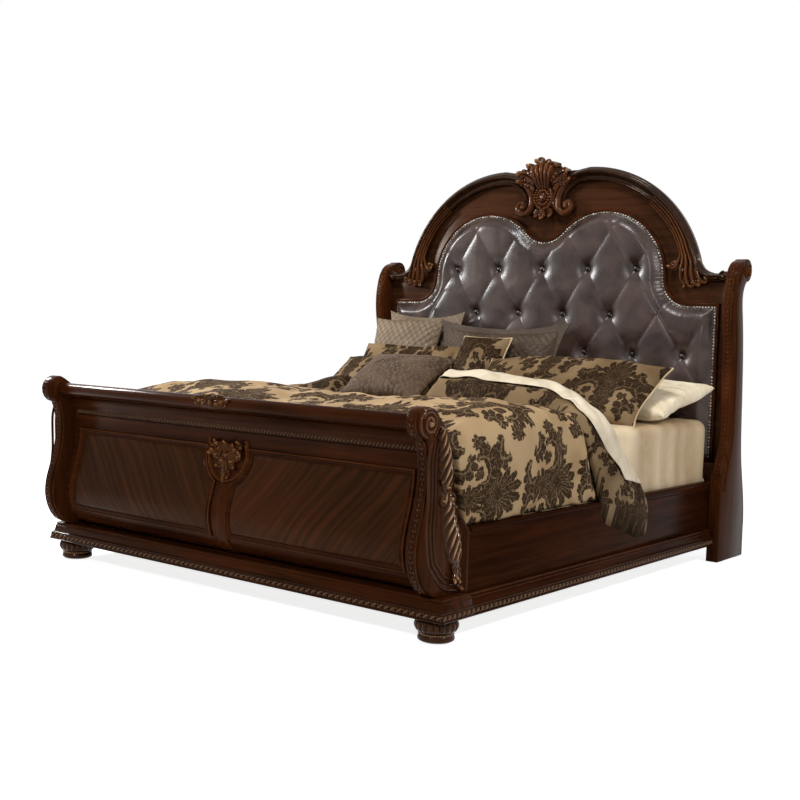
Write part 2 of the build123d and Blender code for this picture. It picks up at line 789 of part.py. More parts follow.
with BuildPart() as crest:
    with BuildSketch(Plane.XZ.offset(-panel_front)):
        with Locations((0, crest_boss_height)):
            Ellipse(66, 84)
        with Locations((0, crest_boss_height - 74)):
            Ellipse(34, 36)
        with BuildLine():
            fan_edge = (112, crest_height - 55)
            fan_root = (46, crest_boss_height + 52)
            Line((-fan_root[0], fan_root[1]), (-fan_edge[0], fan_edge[1]))
            ThreePointArc((-fan_edge[0], fan_edge[1]), (0, crest_height), fan_edge)
            Line(fan_edge, fan_root)
            Line(fan_root, (-fan_root[0], fan_root[1]))
        make_face()
    extrude(amount=crest_depth - crest_boss_depth)
    with BuildSketch(Plane.XZ.offset(-panel_front + crest_depth - crest_boss_depth)):
        with Locations((0, crest_boss_height)):
            Ellipse(44, 54)
    extrude(amount=crest_boss_depth)
crest.part.label = "crest_cartouche"
export_step(crest.part, "parts/crest_cartouche.step")

with BuildPart() as arch_leaves:
    leaf_plane = Plane.XZ.offset(-panel_front + arch_moulding_depth)
    with BuildSketch(leaf_plane):
        with BuildLine():
            spring = on_circle(arch_right, arch_radius, arch_spring_angle)
            leaf = [(-72, 54), (-10, 24), (43, -34), (106, -58), (18, -84), (-72, -78), (-146, -44), (-92, -4)]
            leaf = [(spring[0] + x, spring[1] + z) for x, z in leaf]
            Spline(*leaf, periodic=True)
        make_face()
        add(arch_moulding_outline(1), mode=Mode.INTERSECT)
        mirror(about=Plane.YZ)
    extrude(amount=leaf_depth - arch_moulding_depth)
arch_leaves.part.label = "arch_leaves"
export_step(arch_leaves.part, "parts/arch_leaves.step")


# ------------------------------------------------------------------- upholstery
hump = (hump_centre_x, hump_centre_height)
dip_radius = (hump_centre_x**2 + dip_rise**2 - hump_radius**2) / (2 * (hump_radius - dip_rise))
dip = (0, dip_height + dip_radius)
meet_angle = degrees(atan2(dip[1] - hump[1], dip[0] - hump[0]))
shoulder_arc = (shoulder_arc_x, hump_centre_height)


def camel_outline(grow):
    """The camel-backed outline of the upholstery, grown out from the nail line."""
    corner_x = nail_corner_x + grow
    corner_z = hump_centre_height - shoulder_arc_radius + grow
    concave = shoulder_arc_radius - grow
    convex = hump_radius + grow
    with BuildSketch() as outline:
        with BuildLine():
            low = upholstery_low - grow
            Polyline((0, low), (corner_x, low), (corner_x, corner_z), (shoulder_arc_x, corner_z))
            spring = on_circle(shoulder_arc, concave, 180)
            ThreePointArc((shoulder_arc_x, corner_z), on_circle(shoulder_arc, concave, 225), spring)
            meet = on_circle(hump, convex, meet_angle)
            ThreePointArc(spring, on_circle(hump, convex, meet_angle / 2), meet)
            bottom = (0, dip[1] - (dip_radius - grow))
            halfway = (meet_angle + 180 + 270) / 2
            ThreePointArc(meet, on_circle(dip, dip_radius - grow, halfway), bottom)
            Line(bottom, (0, low))
        make_face()
        mirror(about=Plane.YZ)
    return outline.sketch


def inside_upholstery(x, z, margin):
    """Whether a place lies inside the nail line by at least the margin."""
    across = abs(x)
    if z < hump_centre_height - shoulder_arc_radius - margin:
        return across < nail_corner_x - margin
    return hypot(across - hump_centre_x, z - hump_centre_height) < hump_radius - margin or (
        across < hump_centre_x and z < dip_height - margin
    )


button_places = []
for row, drop in enumerate(button_drops):
    height = hump_centre_height - drop
    start = 0 if row % 2 == 0 else button_pitch / 2
    for step in range(-4, 5):
        place = (start + step * button_pitch, height)
        if inside_upholstery(*place, button_edge_margin):
            button_places.append(place)

with BuildPart() as upholstery_board:
    with BuildSketch(Plane.XZ.offset(-panel_front)):
        add(camel_outline(frame_moulding_gap - 1))
    extrude(amount=board_thickness)
upholstery_board.part.label = "upholstery_board"
export_step(upholstery_board.part, "parts/upholstery_board.step")

with BuildPart() as tufted_pad:
    with BuildSketch(Plane.XZ.offset(-pad_back)):
        add(camel_outline(frame_moulding_gap - 1))
    extrude(amount=border_thickness)
    with BuildSketch(Plane.XZ.offset(-pad_back + border_thickness)):
        add(camel_outline(-pad_border))
    extrude(amount=pad_thickness - border_thickness)
    with BuildSketch(Plane.XZ.offset(-pad_back + pad_thickness)):
        with Locations(*button_places):
            Circle(button_radius + 1)
    extrude(amount=-button_depth, mode=Mode.SUBTRACT)
tufted_pad.part.label = "tufted_pad"
export_step(tufted_pad.part, "parts/tufted_pad.step")

with BuildPart() as tuft_buttons:
    button_base = -pad_back + pad_thickness - button_depth
    with BuildSketch(Plane.XZ.offset(button_base)):
        with Locations(*button_places):
            Circle(button_radius)
    extrude(amount=button_thickness, taper=25)
tuft_buttons.part.label = "tuft_buttons"
export_step(tuft_buttons.part, "parts/tuft_buttons.step")

with BuildPart() as upholstery_moulding:
    with BuildSketch(Plane.XZ.offset(-panel_front)):
        add(camel_outline(frame_moulding_gap + frame_moulding_width))
        add(camel_outline(frame_moulding_gap), mode=Mode.SUBTRACT)
    extrude(amount=frame_moulding_depth + board_thickness)
upholstery_moulding.part.label = "upholstery_moulding"
export_step(upholstery_moulding.part, "parts/upholstery_moulding.step")


def nail_line():
    """The right half of the nail line, from the bottom corner to the dip."""
    corner = (nail_corner_x, hump_centre_height - shoulder_arc_radius)
    with BuildLine() as line:
        Polyline((nail_corner_x, upholstery_low), corner, (shoulder_arc_x, corner[1]))
        spring = on_circle(shoulder_arc, shoulder_arc_radius, 180)
        ThreePointArc((shoulder_arc_x, corner[1]), on_circle(shoulder_arc, shoulder_arc_radius, 225), spring)
        meet = on_circle(hump, hump_radius, meet_angle)
        ThreePointArc(spring, on_circle(hump, hump_radius, meet_angle / 2), meet)
        halfway = (meet_angle + 180 + 270) / 2
        ThreePointArc(meet, on_circle(dip, dip_radius, halfway), (0, dip_height))
    return line.wires()[0]


nail_places = set()
for stretch in nail_line().edges():
    count = round(stretch.length / nail_pitch)
    for number in range(count + 1):
        place = stretch @ (number / count)
        nail_places.add((round(place.X, 3), round(place.Y, 3)))
        nail_places.add((round(-place.X, 3), round(place.Y, 3)))

with BuildPart() as nailheads:
    with BuildSketch(Plane.XZ.offset(-pad_back + border_thickness)):
        with Locations(*sorted(nail_places)):
            Circle(nail_radius)
    extrude(amount=nail_height, taper=35)
nailheads.part.label = "nailheads"
export_step(nailheads.part, "parts/nailheads.step")

# ---------------------------------------------------------------------- bedding
with BuildPart() as box_spring:
    spring_start = plinth_back + 1
    with BuildSketch(Plane.XY.offset(box_spring_low)):
        with Locations((0, (spring_start + mattress_head) / 2)):
            RectangleRounded(mattress_width, mattress_head - spring_start, 25)
    extrude(amount=box_spring_height)
box_spring.part.label = "box_spring"
export_step(box_spring.part, "parts/box_spring.step")

with BuildPart() as mattress:
    with BuildSketch(Plane.XY.offset(mattress_low)):
        with Locations((0, (mattress_foot + mattress_head) / 2)):
            RectangleRounded(mattress_width, mattress_length, mattress_corner)
    extrude(amount=mattress_height)
    fillet(mattress.faces().sort_by(Axis.Z)[-1].edges(), radius=30)
mattress.part.label = "mattress"
export_step(mattress.part, "parts/mattress.step")

cover_low = mattress_top + soft_gap
cover_side = mattress_width / 2 + 0.5
cover_outer = cover_side + comforter_thickness
with BuildPart() as comforter:
    with BuildSketch(Plane.YZ.offset(-cover_outer)):
        with BuildLine():
            hills = [(168, cover_low), (172, 690), (240, 718), (600, comforter_hill_top), (950, 742)]
            hills += [(1150, comforter_low_top), (comforter_end, comforter_low_top), (comforter_end, cover_low)]
            Polyline(*[(foot + y, z) for y, z in hills], close=True)
        make_face()
    extrude(amount=2 * cover_outer)
    for sign in (-1, 1):
        with BuildSketch(Plane.YZ.offset(sign * cover_side)):
            drop_length = comforter_end - comforter_drop_start
            drop_middle = foot + comforter_drop_start + drop_length / 2
            with Locations((drop_middle, (rail_top + soft_gap + comforter_low_top) / 2)):
                Rectangle(drop_length, comforter_low_top - rail_top - soft_gap)
        extrude(amount=sign * comforter_thickness)
    with BuildSketch(Plane.YZ.offset(-foot_post_inner + 5)):
        with BuildLine():
            tuck = [(132, 560), (166, 560), (166, cover_low), (240, cover_low), (240, 716), (172, 708), (140, 696)]
            tuck += [(132, 680)]
            Polyline(*[(foot + y, z) for y, z in tuck], close=True)
        make_face()
    extrude(amount=2 * foot_post_inner - 10)
    for near, far in ((-cover_outer, fold_left), (fold_side, cover_outer)):
        with BuildSketch(Plane.YZ.offset(near)):
            with BuildLine():
                fold = [(fold_start, comforter_low_top - 5), (1215, 775), (1290, fold_top), (1400, fold_top - 6)]
                fold += [(comforter_end, 770), (comforter_end, comforter_low_top - 5)]
                Polyline(*[(foot + y, z) for y, z in fold], close=True)
            make_face()
        extrude(amount=far - near)
    with BuildSketch(Plane.YZ.offset(cover_outer)):
        with BuildLine():
            flap = [(1250, 690), (1250, 385), (1330, 330), (1535, flap_bottom), (1545, 372), (1470, 690)]
            Polyline(*[(foot + y, z) for y, z in flap], close=True)
        make_face()
    extrude(amount=flap_thickness)
comforter.part.label = "comforter"
export_step(comforter.part, "parts/comforter.step")

with BuildPart() as flat_sheet:
    with BuildSketch(Plane.YZ.offset(fold_side)):
        with BuildLine():
            over = fold_top + soft_gap
            behind = comforter_end + soft_gap
            sheet = [(1290, over), (1290, over + sheet_thickness), (1402, over + sheet_thickness - 5)]
            sheet += [(behind + sheet_thickness, 773), (behind + sheet_thickness, cover_low)]
            sheet += [(behind, cover_low), (behind, 770 + soft_gap), (1400, over - 5.5)]
            Polyline(*[(foot + y, z) for y, z in sheet], close=True)
        make_face()
    extrude(amount=cover_outer - fold_side)
flat_sheet.part.label = "flat_sheet"
export_step(flat_sheet.part, "parts/flat_sheet.step")

# Each pillow is a slab with rounded ends that leans back by its tilt. Its low end
# starts this far before the mattress's head, and its sides are measured from the
# middle of the bed.
left_edge = -mattress_width / 2
right_edge = mattress_width / 2
throw_low = comforter_low_top + soft_gap
pillows = {
    "pillow_left": dict(before=653, z=cover_low, length=330, thickness=110, tilt=40, left=left_edge + 35, right=-300),
    "sham_left": dict(before=449, z=cover_low, length=350, thickness=90, tilt=58, left=left_edge + 35, right=-300),
    "euro_sham_left": dict(before=288, z=cover_low, length=450, thickness=80, tilt=72, left=left_edge + 5, right=-510),
    "euro_sham_back": dict(before=167, z=cover_low, length=480, thickness=70, tilt=78, left=left_edge + 35, right=-440),
    "euro_sham_centre": dict(before=288, z=cover_low, length=450, thickness=80, tilt=72, left=-508, right=250),
    "accent_pillow": dict(before=438, z=cover_low, length=400, thickness=80, tilt=62, left=-295, right=-10),
    "throw_pillow": dict(before=1020, z=throw_low, length=350, thickness=100, tilt=32, left=-470, right=-5),
    "pillow_right": dict(before=553, z=cover_low, length=520, thickness=110, tilt=12, left=275, right=right_edge + 20),
    "sham_right": dict(before=753, z=cover_low, length=420, thickness=110, tilt=34, left=0, right=right_edge - 35),
}
for pillow_name, place in pillows.items():
    run = place["length"] - place["thickness"]
    radius = place["thickness"] / 2
    centre_y = mattress_head - place["before"] + radius + run / 2 * cos(radians(place["tilt"]))
    centre_z = place["z"] + radius + run / 2 * sin(radians(place["tilt"]))
    with BuildPart() as pillow:
        with BuildSketch(Plane.YZ.offset(place["left"])):
            with Locations(Location((centre_y, centre_z), place["tilt"])):
                SlotOverall(place["length"], place["thickness"])
        extrude(amount=place["right"] - place["left"])
    pillow.part.label = pillow_name
    export_step(pillow.part, f"parts/{pillow_name}.step")
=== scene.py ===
"""The looks of a king-size sleigh bed: carved cherry wood, tufted leather and damask bedding.

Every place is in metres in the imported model's frame: +X is the bed's right side, +Y its head.
"""
import functools
import math

import bmesh
import bpy
import numpy as np
from mathutils import Matrix, Vector
from mathutils.bvhtree import BVHTree


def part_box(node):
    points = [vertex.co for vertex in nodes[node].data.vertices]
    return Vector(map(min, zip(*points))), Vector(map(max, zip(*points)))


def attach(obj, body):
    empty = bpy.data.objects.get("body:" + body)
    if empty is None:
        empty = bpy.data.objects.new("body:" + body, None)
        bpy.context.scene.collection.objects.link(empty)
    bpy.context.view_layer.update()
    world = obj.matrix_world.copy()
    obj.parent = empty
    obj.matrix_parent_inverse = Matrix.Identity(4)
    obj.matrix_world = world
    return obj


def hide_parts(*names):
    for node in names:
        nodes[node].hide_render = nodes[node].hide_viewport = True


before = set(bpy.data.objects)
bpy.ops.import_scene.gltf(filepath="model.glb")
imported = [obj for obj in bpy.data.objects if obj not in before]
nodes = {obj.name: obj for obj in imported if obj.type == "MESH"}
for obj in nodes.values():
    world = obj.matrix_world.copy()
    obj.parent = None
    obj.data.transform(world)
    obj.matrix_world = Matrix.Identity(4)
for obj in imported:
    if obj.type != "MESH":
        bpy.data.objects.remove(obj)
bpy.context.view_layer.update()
scene = bpy.context.scene
SIDES = (("left", -1), ("right", 1))

# ------------------------------------------------- places that everything is set from
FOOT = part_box("foot_plinth")[0].y
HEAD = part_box("head_lower_rail")[0].y
PANEL_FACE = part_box("head_panel")[0].y
MATTRESS_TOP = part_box("mattress")[1].z
RAIL_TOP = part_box("side_rail_right")[1].z
RAIL_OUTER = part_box("side_rail_right")[1].x
PLINTH_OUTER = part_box("foot_plinth")[1].x


# ---------------------------------------------------------------------------- camera
VIEW_DEGREES = (37.79, 3.294, 2.0675)
EYE_PLACE = (3.204, FOOT - 3.058, 1.016)
LENS_MM = 53.23


def camera():
    """The photograph's viewing angle: from the right of the foot, a little above the bed."""
    azimuth, pitch, roll = (math.radians(angle) for angle in VIEW_DEGREES)
    forward = Vector((
        -math.sin(azimuth) * math.cos(pitch), math.cos(azimuth) * math.cos(pitch), -math.sin(pitch)
    ))
    right = Vector((math.cos(azimuth), math.sin(azimuth), 0))
    up = right.cross(forward)
    tilted_right = right * math.cos(roll) + up * math.sin(roll)
    tilted_up = up * math.cos(roll) - right * math.sin(roll)
    data = bpy.data.cameras.new("camera")
    data.lens = LENS_MM
    data.sensor_width = 36
    data.clip_end = 100
    eye = bpy.data.objects.new("camera", data)
    scene.collection.objects.link(eye)
    columns = Matrix((tilted_right, tilted_up, -forward)).transposed()
    eye.matrix_world = Matrix.Translation(EYE_PLACE) @ columns.to_4x4()
    scene.camera = eye


# ------------------------------------------------------------- materials: the language
def feed(tree, socket, value):
    """Give a socket a varying field or a constant."""
    if isinstance(value, Field):
        tree.links.new(value.socket, socket)
    else:
        socket.default_value = value


class Field:
    """A number or a vector that varies over a surface: the output of one node."""

    def __init__(self, tree, socket):
        self.tree, self.socket = tree, socket

    def math(self, operation, *others, clamp=False):
        node = self.tree.nodes.new("ShaderNodeMath")
        node.operation, node.use_clamp = operation, clamp
        for socket, value in zip(node.inputs, (self, *others)):
            feed(self.tree, socket, value)
        return Field(self.tree, node.outputs[0])

    def __add__(self, other):
        return self.math("ADD", other)

    def __sub__(self, other):
        return self.math("SUBTRACT", other)

    def __mul__(self, other):
        return self.math("MULTIPLY", other)

    def __truediv__(self, other):
        return self.math("DIVIDE", other)

    __radd__, __rmul__ = __add__, __mul__

    def __rsub__(self, other):
        return self * -1 + other

    def __neg__(self):
        return self * -1

    def __abs__(self):
        return self.math("ABSOLUTE")

    def sin(self):
        return self.math("SINE")

    def fraction(self):
        return self.math("FRACT")

    def whole(self):
        return self.math("FLOOR")

    def root(self):
        return self.math("SQRT")

    def turn(self, other):
        """The angle of the point (other, self)."""
        return self.math("ARCTAN2", other)

    def most(self, other):
        return self.math("MAXIMUM", other)

    def least(self, other):
        return self.math("MINIMUM", other)

    def fade(self, low, high):
        """0 below low, 1 above high, smooth between; high may be under low."""
        node = self.tree.nodes.new("ShaderNodeMapRange")
        node.interpolation_type = "SMOOTHSTEP"
        feed(self.tree, node.inputs["Value"], self)
        ends = (low, high, 0.0, 1.0) if low < high else (high, low, 1.0, 0.0)
        for name, value in zip(("From Min", "From Max", "To Min", "To Max"), ends):
            node.inputs[name].default_value = value
        return Field(self.tree, node.outputs["Result"])


class Finish:
    """One node material while it is written."""

    def __init__(self, name):
        self.material = bpy.data.materials.new(name)
        self.material.use_nodes = True
        self.tree = self.material.node_tree
        self.shader = self.tree.nodes["Principled BSDF"]

    def node(self, kind, output=0, inputs=None, **settings):
        node = self.tree.nodes.new(kind)
        for key, value in settings.items():
            setattr(node, key, value)
        for key, value in (inputs or {}).items():
            feed(self.tree, node.inputs[key], value)
        return Field(self.tree, node.outputs[output])

    def place(self):
        return self.node("ShaderNodeTexCoord", "Object")

    def cloth(self):
        return self.node("ShaderNodeUVMap", "UV", uv_map="cloth")

    def axes(self, vector):
        split = self.tree.nodes.new("ShaderNodeSeparateXYZ")
        feed(self.tree, split.inputs[0], vector)
        return [Field(self.tree, output) for output in split.outputs]

    def vector(self, x, y):
        return self.node("ShaderNodeCombineXYZ", inputs={0: x, 1: y})

    def stretch(self, vector, scale):
        return self.node("ShaderNodeMapping", inputs={"Vector": vector, "Scale": scale})

    def noise(self, vector, scale, detail=3.0, distortion=0.0, output="Fac"):
        inputs = {"Vector": vector, "Scale": scale, "Detail": detail, "Distortion": distortion}
        return self.node("ShaderNodeTexNoise", output, inputs)

    def cells(self, vector, scale):
        """How far a place is from the middle of its cell."""
        return self.node("ShaderNodeTexVoronoi", "Distance", {"Vector": vector, "Scale": scale})

    def relief(self):
        """How far a carved place stands up, from the mesh; it weights painted highlight on wood and painted
        shade on leather.
        """
        return self.node("ShaderNodeAttribute", "Fac", attribute_name="relief")

    def ramp(self, value, *stops):
        """Colour stops (place, (r, g, b)) along a value."""
        node = self.tree.nodes.new("ShaderNodeValToRGB")
        feed(self.tree, node.inputs[0], value)
        marks = node.color_ramp.elements
        for number, (place, colour) in enumerate(stops):
            mark = marks[number] if number < 2 else marks.new(place)
            mark.position, mark.color = place, (*colour, 1)
        return Field(self.tree, node.outputs[0])

    def mix(self, factor, first, second):
        node = self.tree.nodes.new("ShaderNodeMix")
        node.data_type = "RGBA"
        for place, value in ((0, factor), (6, first), (7, second)):
            feed(self.tree, node.inputs[place], (*value, 1) if isinstance(value, tuple) else value)
        return Field(self.tree, node.outputs[2])

    def bump(self, height, distance, under=None):
        inputs = {"Height": height, "Distance": distance}
        if under is not None:
            inputs["Normal"] = under
        return self.node("ShaderNodeBump", "Normal", inputs)

    def done(self, **sockets):
        """The material, with its shader's sockets set."""
        for name, value in sockets.items():
            name = name.replace("_", " ")
            feed(self.tree, self.shader.inputs[name], (*value, 1) if isinstance(value, tuple) else value)
        return self.material


# --------------------------------------------------------------- materials: the wood
LACQUER = (1.0, 0.82, 0.64)
# the pale painted highlight colour for the crests of carvings
CREST_HIGHLIGHT_COLOUR = (0.42, 0.27, 0.155)
GRAIN = {"x": (1.6, 34.0, 34.0), "y": (34.0, 1.6, 34.0), "z": (34.0, 34.0, 1.6)}


def cherry(
    name, grain="x", dark=(0.0125, 0.0034, 0.0011), red=(0.068, 0.0182, 0.0052), glow=(0.150, 0.048, 0.012),
    crest_highlight=0.0, gloss=0.07, rough=0.15, crest=0.78
):
    """Dark glazed cherry: fine grain, worn reddish patches, warm painted highlight on what stands up.

    crest_highlight is how strongly a pale painted highlight, like polish worn through, covers what stands
    higher than crest, and gloss what the lacquer adds to an index of refraction of 1.
    """
    finish = Finish(name)
    place = finish.place()
    pores = finish.noise(finish.stretch(place, GRAIN[grain]), 1.0, 5.0, 0.7)
    fine = finish.noise(finish.stretch(place, tuple(4 * scale for scale in GRAIN[grain])), 1.0, 3.0)
    clouds = finish.noise(place, 3.1, 2.0)
    tone = pores * 0.62 + clouds * 0.38
    middle = tuple(0.5 * (low + high) for low, high in zip(dark, red))
    colour = finish.ramp(tone, (0.30, dark), (0.72, red), (0.52, middle))
    raised = finish.relief()
    # painted highlight: the glow colour is mixed onto what stands up, weighted by the mesh's relief
    colour = finish.mix(raised.fade(0.40, 1.0) * (0.55 + 0.45 * clouds), colour, glow)
    colour = finish.mix(fine.fade(0.42, 0.62) * 0.22, colour, dark)
    # painted highlight on the crests, pale like polish worn through
    if crest_highlight:
        colour = finish.mix(raised.fade(crest, 1.0) * crest_highlight, colour, CREST_HIGHLIGHT_COLOUR)
    normal = finish.bump(pores * 0.6 + fine * 0.4, 0.0004)
    return finish.done(
        Base_Color=colour, Roughness=rough + 0.10 * fine, Normal=normal, IOR=1 + gloss,
        Specular_IOR_Level=0.9, Specular_Tint=LACQUER
    )


def ribbon_veneer(name):
    """Book-matched ribbon mahogany: slanting stripes that meet at the bed's middle."""
    finish = Finish(name)
    place = finish.place()
    x, _, z = finish.axes(place)
    away = abs(x)
    along = away * 0.64 + z * 0.77
    across = z * 0.64 - away * 0.77
    wander = finish.noise(finish.vector(along, across), 3.4, 2.0)
    ribbon = finish.noise(finish.vector(along * 1.5, across * 44.0 + wander * 1.4), 1.0, 3.0)
    pores = finish.noise(finish.vector(along * 9.0, across * 210.0), 1.0, 3.0)
    patch = finish.noise(place, 2.3, 1.0)
    tone = ribbon * 0.62 + pores * 0.14 + patch * 0.24
    colour = finish.ramp(
        tone, (0.32, (0.015, 0.0054, 0.0018)), (0.70, (0.072, 0.0212, 0.0066)),
        (0.46, (0.032, 0.0112, 0.0038)), (0.57, (0.050, 0.0156, 0.0050))
    )
    normal = finish.bump(pores, 0.0002)
    rough = 0.24 + 0.10 * pores
    return finish.done(
        Base_Color=colour, Roughness=rough, Normal=normal, IOR=1.08, Specular_IOR_Level=0.9,
        Specular_Tint=LACQUER
    )


def plain_timber(name):
    finish = Finish(name)
    place = finish.place()
    pores = finish.noise(finish.stretch(place, (2.0, 30.0, 30.0)), 1.0, 5.0, 0.4)
    colour = finish.ramp(pores, (0.3, (0.36, 0.22, 0.11)), (0.7, (0.52, 0.36, 0.20)))
    return finish.done(Base_Color=colour, Roughness=0.55 + 0.2 * pores, Normal=finish.bump(pores, 0.0005))


# ------------------------------------------------------- materials: leather and metal
def tufted_leather(name):
    """Glossy dark brown leather with a fine grain, and painted shade in its creases and round its tufts,
    where the relief is low.
    """
    finish = Finish(name)
    place = finish.place()
    grain = finish.cells(place, 420.0)
    clouds = finish.noise(place, 8.0, 5.0, 0.6)
    colour = finish.ramp(clouds, (0.34, (0.017, 0.0086, 0.0060)), (0.68, (0.054, 0.0322, 0.0255)))
    # painted shade: darker where the relief is low, in the creases and round the tufts
    colour = finish.mix(finish.relief().fade(0.0, 0.5), (0.006, 0.0032, 0.0026), colour)
    pebble = finish.noise(place, 150.0, 2.0)
    normal = finish.bump(grain, 0.00016, finish.bump(pebble, 0.0003))
    rough = 0.19 + 0.11 * clouds + 0.07 * grain
    return finish.done(Base_Color=colour, Roughness=rough, Normal=normal, Specular_IOR_Level=0.36)


def metal(name, pale, dull, rough=0.3):
    finish = Finish(name)
    place = finish.place()
    tarnish = finish.noise(place, 55.0, 3.0)
    colour = finish.ramp(tarnish, (0.38, dull), (0.62, pale))
    return finish.done(Base_Color=colour, Metallic=1.0, Roughness=rough + 0.2 * tarnish)


def nylon(name):
    finish = Finish(name)
    specks = finish.noise(finish.place(), 300.0, 2.0)
    colour = finish.ramp(specks, (0.4, (0.012, 0.012, 0.013)), (0.6, (0.022, 0.022, 0.024)))
    return finish.done(Base_Color=colour, Roughness=0.5 + 0.1 * specks, Normal=finish.bump(specks, 0.0001))


# ---------------------------------------------------------------- materials: the cloth
def weave(finish, vector, threads):
    """The height of a plain weave with so many threads to the metre."""
    u, v, _ = finish.axes(vector)
    return (u * (threads * math.tau)).sin() * (v * (threads * math.tau)).sin()


def satin(name, dark, pale, rough=0.34, sheen=0.25, creases=0.004, painted_sheen_bands=0.0):
    """Smooth bed linen whose colour shifts gently and which creases softly.

    painted_sheen_bands is the share of the colour given to broad painted bands of sheen and shade across the
    bed's length.
    """
    finish = Finish(name)
    place = finish.place()
    soft = finish.noise(place, 5.0, 2.0)
    crease = finish.noise(finish.stretch(place, (1.0, 1.6, 1.0)), 11.0, 3.0, 1.2)
    threads = finish.noise(finish.stretch(place, (240.0, 1500.0, 240.0)), 1.0, 1.0)
    # painted sheen and shade: broad bands that stand in for the satin's folds catching the light
    sheen_band = finish.noise(finish.stretch(place, (0.5, 5.5, 0.5)), 1.0, 1.0)
    tone = soft * (0.5 - painted_sheen_bands) + sheen_band * (painted_sheen_bands * 1.75) + crease * (0.4 - painted_sheen_bands * 0.75) + threads * 0.1
    colour = finish.ramp(tone, (0.34, dark), (0.64, pale))
    normal = finish.bump(crease, creases, finish.bump(threads, 0.0002))
    return finish.done(
        Base_Color=colour, Roughness=rough + 0.14 * threads, Normal=normal, Specular_IOR_Level=0.4,
        Sheen_Weight=sheen, Sheen_Roughness=0.4
    )


REPEAT_WIDE, REPEAT_TALL = 0.36, 0.47


def damask(
    name, ground=(0.335, 0.218, 0.110), pale=(0.450, 0.312, 0.172), brown=(0.026, 0.0132, 0.0062),
    taupe=(0.066, 0.039, 0.023)
):
    """A traditional mirrored damask: palmettes between leafy C-scrolls, half-dropped, brown on gold."""
    finish = Finish(name)
    cloth = finish.cloth()
    u, v, _ = finish.axes(cloth)
    drift = finish.axes(finish.noise(cloth, 14.0, 2.0, output="Color"))
    frayed = finish.axes(finish.noise(cloth, 75.0, 3.0, output="Color"))
    u = u + (drift[0] - 0.5) * 0.029 + (frayed[0] - 0.5) * 0.018
    v = v + (drift[1] - 0.5) * 0.038 + (frayed[1] - 0.5) * 0.021
    column = (u / REPEAT_WIDE).whole()
    x = abs((u / REPEAT_WIDE).fraction() - 0.5) * 2
    y = ((v / REPEAT_TALL + column * 0.5).fraction() - 0.5) * 2
    motifs = []

    def away_from(cx, cy, tall):
        """The distance and direction from a motif's middle; the pattern runs on above and below."""
        dx = x - cx
        dy = (((y - cy) * 0.5 + 0.5).fraction() * 2 - 1) * (1.36 / tall)
        return (dx * dx + dy * dy).root(), dx.turn(dy)

    def palmette(cx, cy, size, count, depth, tall=1.0):
        """A fan of deep petals, longest at its top, with gold veins between and along them."""
        far, angle = away_from(cx, cy, tall)
        reach = (angle + math.pi / 2).sin() * (size * 0.24) + size * 0.80
        lobe = abs((angle * (count / 2)).sin())
        inside = lobe.root() * depth + reach - depth * 0.7 - far
        vein = lobe.fade(0.34, 0.08).most(lobe.fade(0.978, 0.995) * 0.8) * (far / reach).fade(0.22, 0.40)
        motifs.append((inside, vein * (far / reach).fade(0.98, 0.82)))

    def scroll(cx, cy, size, thick, start, count, tall=1.0):
        """A C-scroll that swells and tapers, its outer edge cut into leaves."""
        far, angle = away_from(cx, cy, tall)
        swell = ((angle + start).sin() * 0.70 + 0.42).most(0.0)
        lobe = abs((angle * (count / 2)).sin())
        off = far - size
        outer = swell * thick * (lobe.root() * 1.15 + 0.25) - off
        inner = swell * (thick * 0.62) + off
        inside = outer.least(inner) - swell.fade(0.10, 0.0) * 0.1
        vein = lobe.fade(0.30, 0.06) * (off / thick).fade(-0.10, 0.25)
        motifs.append((inside, vein.most(abs(off + thick * 0.12).fade(0.022, 0.008))))

    palmette(0.0, 0.36, 0.44, 14, 0.22, 1.55)
    palmette(0.0, -0.34, 0.26, 10, 0.14, 1.8)
    palmette(0.0, 0.10, 0.20, 8, 0.12)
    scroll(0.28, -0.64, 0.20, 0.14, 3.7, 10)
    for cx, cy, size, thick, start, count in ((
        0.50, -0.02, 0.27, 0.16, 1.3, 13
    ), (0.76, 0.52, 0.18, 0.13, 4.2, 10), (0.72, -0.48, 0.15, 0.13, 2.4, 9)):
        scroll(cx, cy, size, thick, start, count, 1.15)
        scroll(2 - cx, cy + 1, size, thick, math.pi - start, count, 1.15)
    for cy in (-0.10, 0.90):
        palmette(1.0, cy, 0.14, 7, 0.08, 1.5)
    palmette(0.46, -0.14, 0.09, 5, 0.05, 1.4)
    nibble = (finish.cells(cloth, 95.0) - 0.42) * 0.050 - 0.042
    edges = [shape - nibble for shape, _ in motifs]
    inside = functools.reduce(Field.most, edges)
    holes = functools.reduce(
        Field.most, [vein * edge.fade(0.010, 0.050) for edge, (_, vein) in zip(edges, motifs)]
    )
    wear = finish.noise(cloth, 120.0, 2.0)
    figure = inside.fade(-0.010, 0.012) * (1 - holes * 0.42) * (0.76 + 0.24 * wear.fade(0.34, 0.50))
    lustre = finish.noise(cloth, 5.0, 1.0)
    gold = finish.mix(lustre.fade(0.3, 0.7), ground, pale)
    dark = finish.mix(lustre.fade(0.42, 0.72) * 0.35, brown, taupe)
    threads = weave(finish, cloth, 900.0)
    normal = finish.bump(figure + threads * 0.15, 0.0006)
    return finish.done(
        Base_Color=finish.mix(figure, gold, dark), Roughness=0.50 + figure * 0.2, Normal=normal,
        Specular_IOR_Level=0.03
    )


